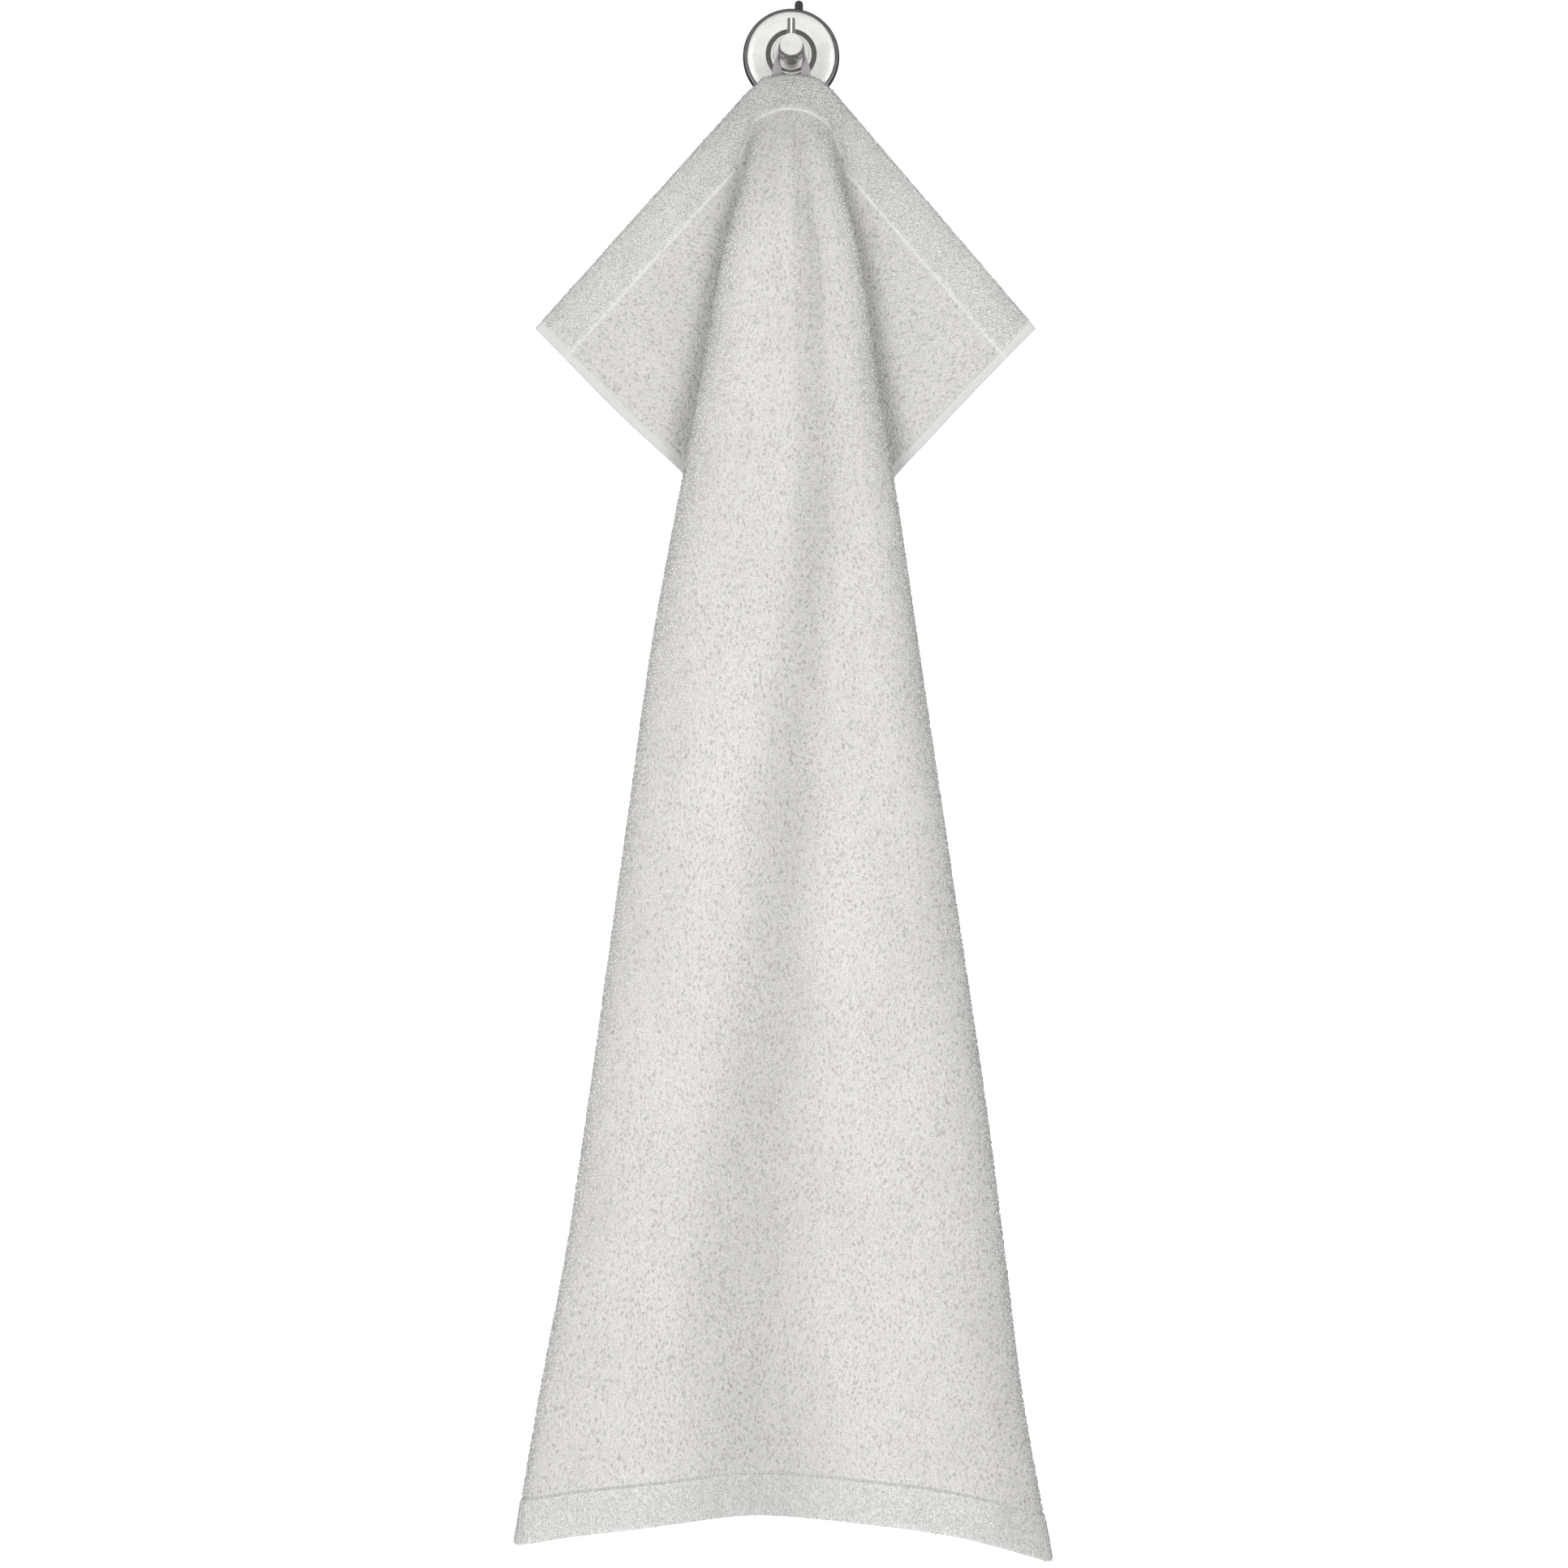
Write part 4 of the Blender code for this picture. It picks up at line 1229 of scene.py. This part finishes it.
class MakeTowelPile(bpy.types.Operator):
    """Cover both faces of the cloth with cotton loops"""
    bl_idname = "towel.make_pile"
    bl_label = "Terry loops"

    def execute(self, context):
        settings = context.scene.towel_pile
        sheet = hanging_sheet(context.scene.towel_cloth)
        material = terry_pile(context.scene.towel_cloth)
        random = np.random.RandomState(settings.seed)
        size = np.array((settings.loop_width, settings.loop_length, settings.loop_height))
        pitch = (settings.front_pitch_across, settings.front_pitch_down)
        across, down = body_points(pitch, random, sheet, seen_from_front)
        front = (*loop_frames(sheet, across, down, 1, size, FRONT_LIE, random),
                 pile_tints(sheet, across, down, random))
        cuts = np.quantile(down, [0.0, 1 / 3, 2 / 3, 1.0])
        for i, name in enumerate(("pile_front_upper", "pile_front_middle", "pile_front_lower")):
            finish_pile(name, front, (down >= cuts[i]) & (down < cuts[i + 1] + (i == 2)), material)
        pitch = (settings.back_pitch_across, settings.back_pitch_down)
        size = size * BACK_LOOPS
        across, down = body_points(pitch, random, sheet, hidden_from_front)
        sets = [(*loop_frames(sheet, across, down, 1, size, BACK_LIE, random),
                 pile_tints(sheet, across, down, random))]
        across, down = body_points(pitch, random, sheet, seen_from_behind)
        sets.append((*loop_frames(sheet, across, down, -1, size, BACK_LIE, random),
                     loop_tones(len(across), random)))
        back = joined(sets)
        half = len(back[0]) // 2
        finish_pile("pile_back_outer", back, slice(0, half), material)
        finish_pile("pile_back_inner", back, slice(half, None), material)
        return {"FINISHED"}


class MakeHemPile(bpy.types.Operator):
    """Lay the low ribs of pile on both hems and the bristles on their folded edges"""
    bl_idname = "towel.make_hem_pile"
    bl_label = "Hem ribs"

    def execute(self, context):
        sheet = hanging_sheet(context.scene.towel_cloth)
        material = terry_pile(context.scene.towel_cloth)
        random = np.random.RandomState(context.scene.towel_pile.seed + 1)
        top = (HEM_PILE_FROM_EDGE, HEM_DEPTH - HEM_PILE_FROM_STITCH)
        bottom = (CLOTH_LENGTH - HEM_DEPTH + HEM_PILE_FROM_STITCH, CLOTH_LENGTH - HEM_PILE_FROM_EDGE)
        sets = []
        for low, high in (top, bottom):
            for face, pitch in HEM_PITCHES.items():
                across, down = jittered(HEM_PILE_HALF, low, high, pitch, random, HEM_PILE_LOOSE)
                size = (HEM_RIB[0] * pitch[0], HEM_RIB[1] * pitch[1], HEM_RIB[2])
                sets.append((*loop_frames(sheet, across, down, face, size, HEM_LIE, random),
                             pile_tints(sheet, across, down, random, *HEM_TONES)))
        sets.append(bristles(sheet, BRISTLE_STRIP, -1.0, random))
        sets.append(bristles(sheet, CLOTH_LENGTH - BRISTLE_STRIP, 1.0, random))
        finish_pile("pile_hems", joined(sets), slice(None), material)
        return {"FINISHED"}


class MakeHemStitches(bpy.types.Operator):
    """Sew the line of stitches along both hems"""
    bl_idname = "towel.make_stitches"
    bl_label = "Hem stitches"

    def execute(self, context):
        sheet = hanging_sheet(context.scene.towel_cloth)
        pitch = context.scene.towel_pile.stitch_pitch
        half = CLOTH_WIDTH / 2 - STITCHES_FROM_SIDE
        across = np.arange(-half, half, pitch)
        size = np.tile((STITCH_SIZE[0] * pitch, *STITCH_SIZE[1:]), (len(across), 1))
        sets = []
        for down in (HEM_DEPTH, CLOTH_LENGTH - HEM_DEPTH):
            for face in (1, -1):
                places, normals, sideways, downward, thick = sheet.at(across, np.full(len(across), down))
                centres = places + normals * face * (thick / 2 + STITCH_RAISED)[:, None]
                sets.append((centres, framed(sideways, downward, normals, size), np.zeros(len(across))))
        mesh = strewn("hem_stitches", grain_form(6, 4), *joined(sets))
        finish_piece("hem_stitches", mesh, sewing_thread(context.scene.towel_cloth))
        return {"FINISHED"}


class MakeHangerTape(bpy.types.Operator):
    """Hang the towel's tape loop over the peg"""
    bl_idname = "towel.make_tape"
    bl_label = "Hanger tape"

    def execute(self, context):
        settings = context.scene.towel_tape
        centres, across = self.route()
        shares = np.linspace(-0.5, 0.5, TAPE_COLUMNS) * settings.width / MM
        travelled = np.concatenate([[0.0], np.cumsum(np.linalg.norm(np.diff(centres, axis=0), axis=1))])
        mesh = grid_mesh("hanger_tape", centres[:, None, :] + across[:, None, :] * shares[None, :, None])
        lay_flat(mesh, "tape", np.stack(np.meshgrid(shares, travelled), axis=-1))
        tape = finish_piece("hanger_tape", mesh, woven_tape(settings), ["hanger_loop"])
        thicken(tape, settings.thickness)
        edge = tape.modifiers.new("rounded_edges", "BEVEL")
        edge.width = settings.thickness * 0.3
        edge.segments = 2
        edge.limit_method = "ANGLE"
        return {"FINISHED"}

    def route(self):
        """Centre points and width directions of the tape, from its left end over the peg to the right."""
        heights = np.linspace(-29.0, 0.0, 44)
        leg = np.array([(read_between(ROUTE_ROWS, "out", z, "height"),
                         -read_between(ROUTE_ROWS, "off", z, "height"), z) for z in heights])
        turns = np.radians(90.0 * ease(1.0, 19.0, -heights))
        arc = np.linspace(0.0, math.pi, 42)[1:-1]
        radius, seat = leg[-1][0], leg[-1][1]
        over = np.stack([-radius * np.cos(arc), np.full(len(arc), seat), radius * np.sin(arc)], axis=1)
        centres = np.concatenate([leg * (-1, 1, 1), over, leg[::-1]])
        turned = np.concatenate([-turns, np.zeros(len(arc)), turns[::-1]])
        ahead = unit(np.gradient(centres, axis=0))
        across = np.stack([np.sin(turned), -np.cos(turned), np.zeros(len(turned))], axis=1)
        across = unit(across - ahead * np.sum(across * ahead, axis=1)[:, None])
        return centres, across


class MakeSuctionCup(bpy.types.Operator):
    """Mould the rubber suction cup with its pull tab"""
    bl_idname = "towel.make_cup"
    bl_label = "Suction cup"

    def execute(self, context):
        cup = spun(CUP_PROFILE, 144, 0.12)
        tab = bmesh.new()
        bmesh.ops.create_grid(tab, x_segments=1, y_segments=1, size=0.5)
        bmesh.ops.scale(tab, vec=(TAB_WIDTH * MM, TAB_LENGTH * MM, 1.0), verts=tab.verts)
        upright = Matrix.Rotation(math.pi / 2, 3, "X")
        bmesh.ops.rotate(tab, cent=(0, 0, 0), matrix=upright, verts=tab.verts)
        bmesh.ops.translate(tab, vec=Vector(TAB_PLACE) * MM, verts=tab.verts)
        made = bmesh.ops.extrude_face_region(tab, geom=list(tab.faces))
        move_new(tab, made, (0, -TAB_THICKNESS * MM, 0))
        bmesh.ops.recalc_face_normals(tab, faces=tab.faces)
        ends = [edge for edge in tab.edges if all(vert.co.z > 39.0 * MM for vert in edge.verts)
                and abs(edge.verts[0].co.x - edge.verts[1].co.x) < 1e-6]
        round_edges(tab, ends, TAB_END_ROUNDING * MM, 8)
        rims = [edge for edge in tab.edges if edge.calc_face_angle(0.0) > 1.2]
        round_edges(tab, rims, TAB_EDGE_ROUNDING * MM, 3)
        mesh = combined(cup, tab, "UNION", "rubber_cup")
        material = black_rubber(context.scene.towel_hook)
        finish_piece("rubber_cup", mesh, material, ["suction_cup"], 35)
        return {"FINISHED"}


class MakeCoverPlate(bpy.types.Operator):
    """Press the round steel cover with its rolled rim and boss"""
    bl_idname = "towel.make_plate"
    bl_label = "Cover plate"

    def execute(self, context):
        mesh = mesh_of(spun(COVER_PROFILE, 192, 0.25), "steel_cover")
        material = brushed_steel(context.scene.towel_hook, "brushed_steel_plate", False)
        finish_piece("steel_cover", mesh, material, ["cover_plate"], 40)
        return {"FINISHED"}


class MakePeg(bpy.types.Operator):
    """Turn the steel peg with its collar and stand the stop pin in it"""
    bl_idname = "towel.make_peg"
    bl_label = "Peg and stop pin"

    def execute(self, context):
        settings = context.scene.towel_hook
        socket = spun(PIN_SOCKET, 48, off_wall=PIN_OFF_WALL)
        peg = combined(spun(PEG_PROFILE, 128, 0.3), socket, "DIFFERENCE", "steel_peg")
        material = brushed_steel(settings, "brushed_steel_peg", True)
        finish_piece("steel_peg", peg, material, ["peg"], 40)
        pin = mesh_of(spun(PIN_PROFILE, 64, 0.35, PIN_OFF_WALL), "steel_pin")
        finish_piece("steel_pin", pin, polished_steel(settings), ["stop_pin"], 40)
        return {"FINISHED"}


class MakeStage(bpy.types.Operator):
    """Set up the pale floor and backdrop, the soft lights and the camera"""
    bl_idname = "towel.make_stage"
    bl_label = "Studio"

    def execute(self, context):
        scene = context.scene
        self.lay_paper(scene)
        for row in LIGHTS:
            self.set_light(scene, *row)
        self.set_air(scene)
        self.set_camera(scene)
        scene.view_settings.view_transform = "Standard"
        return {"FINISHED"}

    def lay_paper(self, scene):
        """Floor that rises into a backdrop through a wide cove."""
        bm = bmesh.new()
        bmesh.ops.create_grid(bm, x_segments=1, y_segments=1, size=FLOOR_HALF)
        bmesh.ops.translate(bm, vec=FLOOR_PLACE, verts=bm.verts)
        furthest = max(vert.co.y for vert in bm.verts)
        back = [edge for edge in bm.edges if all(vert.co.y > furthest - MM for vert in edge.verts)]
        move_new(bm, bmesh.ops.extrude_edge_only(bm, edges=back), (0.0, 0.0, BACKDROP_HEIGHT))
        round_edges(bm, [edge for edge in bm.edges if edge.calc_face_angle(0.0) > 1.0], COVE_RADIUS, 24)
        mesh = mesh_of(bm, "studio_sweep")
        mesh.shade_smooth()
        mesh.materials.append(pale_paper())
        sweep = bpy.data.objects.new("studio_sweep", mesh)
        scene.collection.objects.link(sweep)

    def set_light(self, scene, name, place, width, height, power, aim, mirrored):
        lamp = bpy.data.lights.new(name, "AREA")
        lamp.shape = "RECTANGLE"
        lamp.size = width
        lamp.size_y = height
        lamp.energy = power * scene.towel_studio.brightness
        light = bpy.data.objects.new(name, lamp)
        light.location = place
        light.rotation_euler = (Vector(aim) - Vector(place)).to_track_quat("-Z", "Y").to_euler()
        light.visible_glossy = mirrored
        scene.collection.objects.link(light)

    def set_air(self, scene):
        scene.world = bpy.data.worlds.new("studio_air")
        scene.world.use_nodes = True
        air = scene.world.node_tree.nodes["Background"].inputs
        air["Color"].default_value = (1.0, 1.0, 1.0, 1.0)
        air["Strength"].default_value = AIR_LIGHT * scene.towel_studio.brightness

    def set_camera(self, scene):
        """Camera level with the middle of the towel, as in the photo."""
        settings = scene.towel_studio
        lens = bpy.data.cameras.new("photo_camera")
        lens.angle = settings.field
        camera = bpy.data.objects.new("photo_camera", lens)
        camera.location = (settings.camera_aside, -settings.camera_distance, settings.camera_height)
        camera.rotation_euler = (math.pi / 2, 0.0, 0.0)
        scene.collection.objects.link(camera)
        scene.camera = camera


OPERATORS = (MakePeg, MakeCoverPlate, MakeSuctionCup, MakeHangerTape, MakeTowelCloth, MakeTowelPile,
             MakeHemPile, MakeHemStitches, MakeStage)


class TowelPanel(bpy.types.Panel):
    """Lists the towel's pieces and their sizes"""
    bl_idname = "VIEW3D_PT_towel"
    bl_label = "Hand towel on a hook"
    bl_space_type = "VIEW_3D"
    bl_region_type = "UI"
    bl_category = "Towel"

    def draw(self, context):
        for name, group in GROUPS.items():
            box = self.layout.box()
            for key in group.__annotations__:
                box.prop(getattr(context.scene, name), key)
        for operator in OPERATORS:
            self.layout.operator(operator.bl_idname)


CLASSES = (*GROUPS.values(), *OPERATORS, TowelPanel)


def register():
    for thing in CLASSES:
        bpy.utils.register_class(thing)
    for name, group in GROUPS.items():
        setattr(bpy.types.Scene, name, PointerProperty(type=group))


def unregister():
    for name in GROUPS:
        delattr(bpy.types.Scene, name)
    for thing in reversed(CLASSES):
        bpy.utils.unregister_class(thing)


def main():
    register()
    bpy.ops.towel.make_peg()
    bpy.ops.towel.make_plate()
    bpy.ops.towel.make_cup()
    bpy.ops.towel.make_tape()
    bpy.ops.towel.make_cloth()
    bpy.ops.towel.make_pile()
    bpy.ops.towel.make_hem_pile()
    bpy.ops.towel.make_stitches()
    bpy.ops.towel.make_stage()


if __name__ == "__main__":
    main()
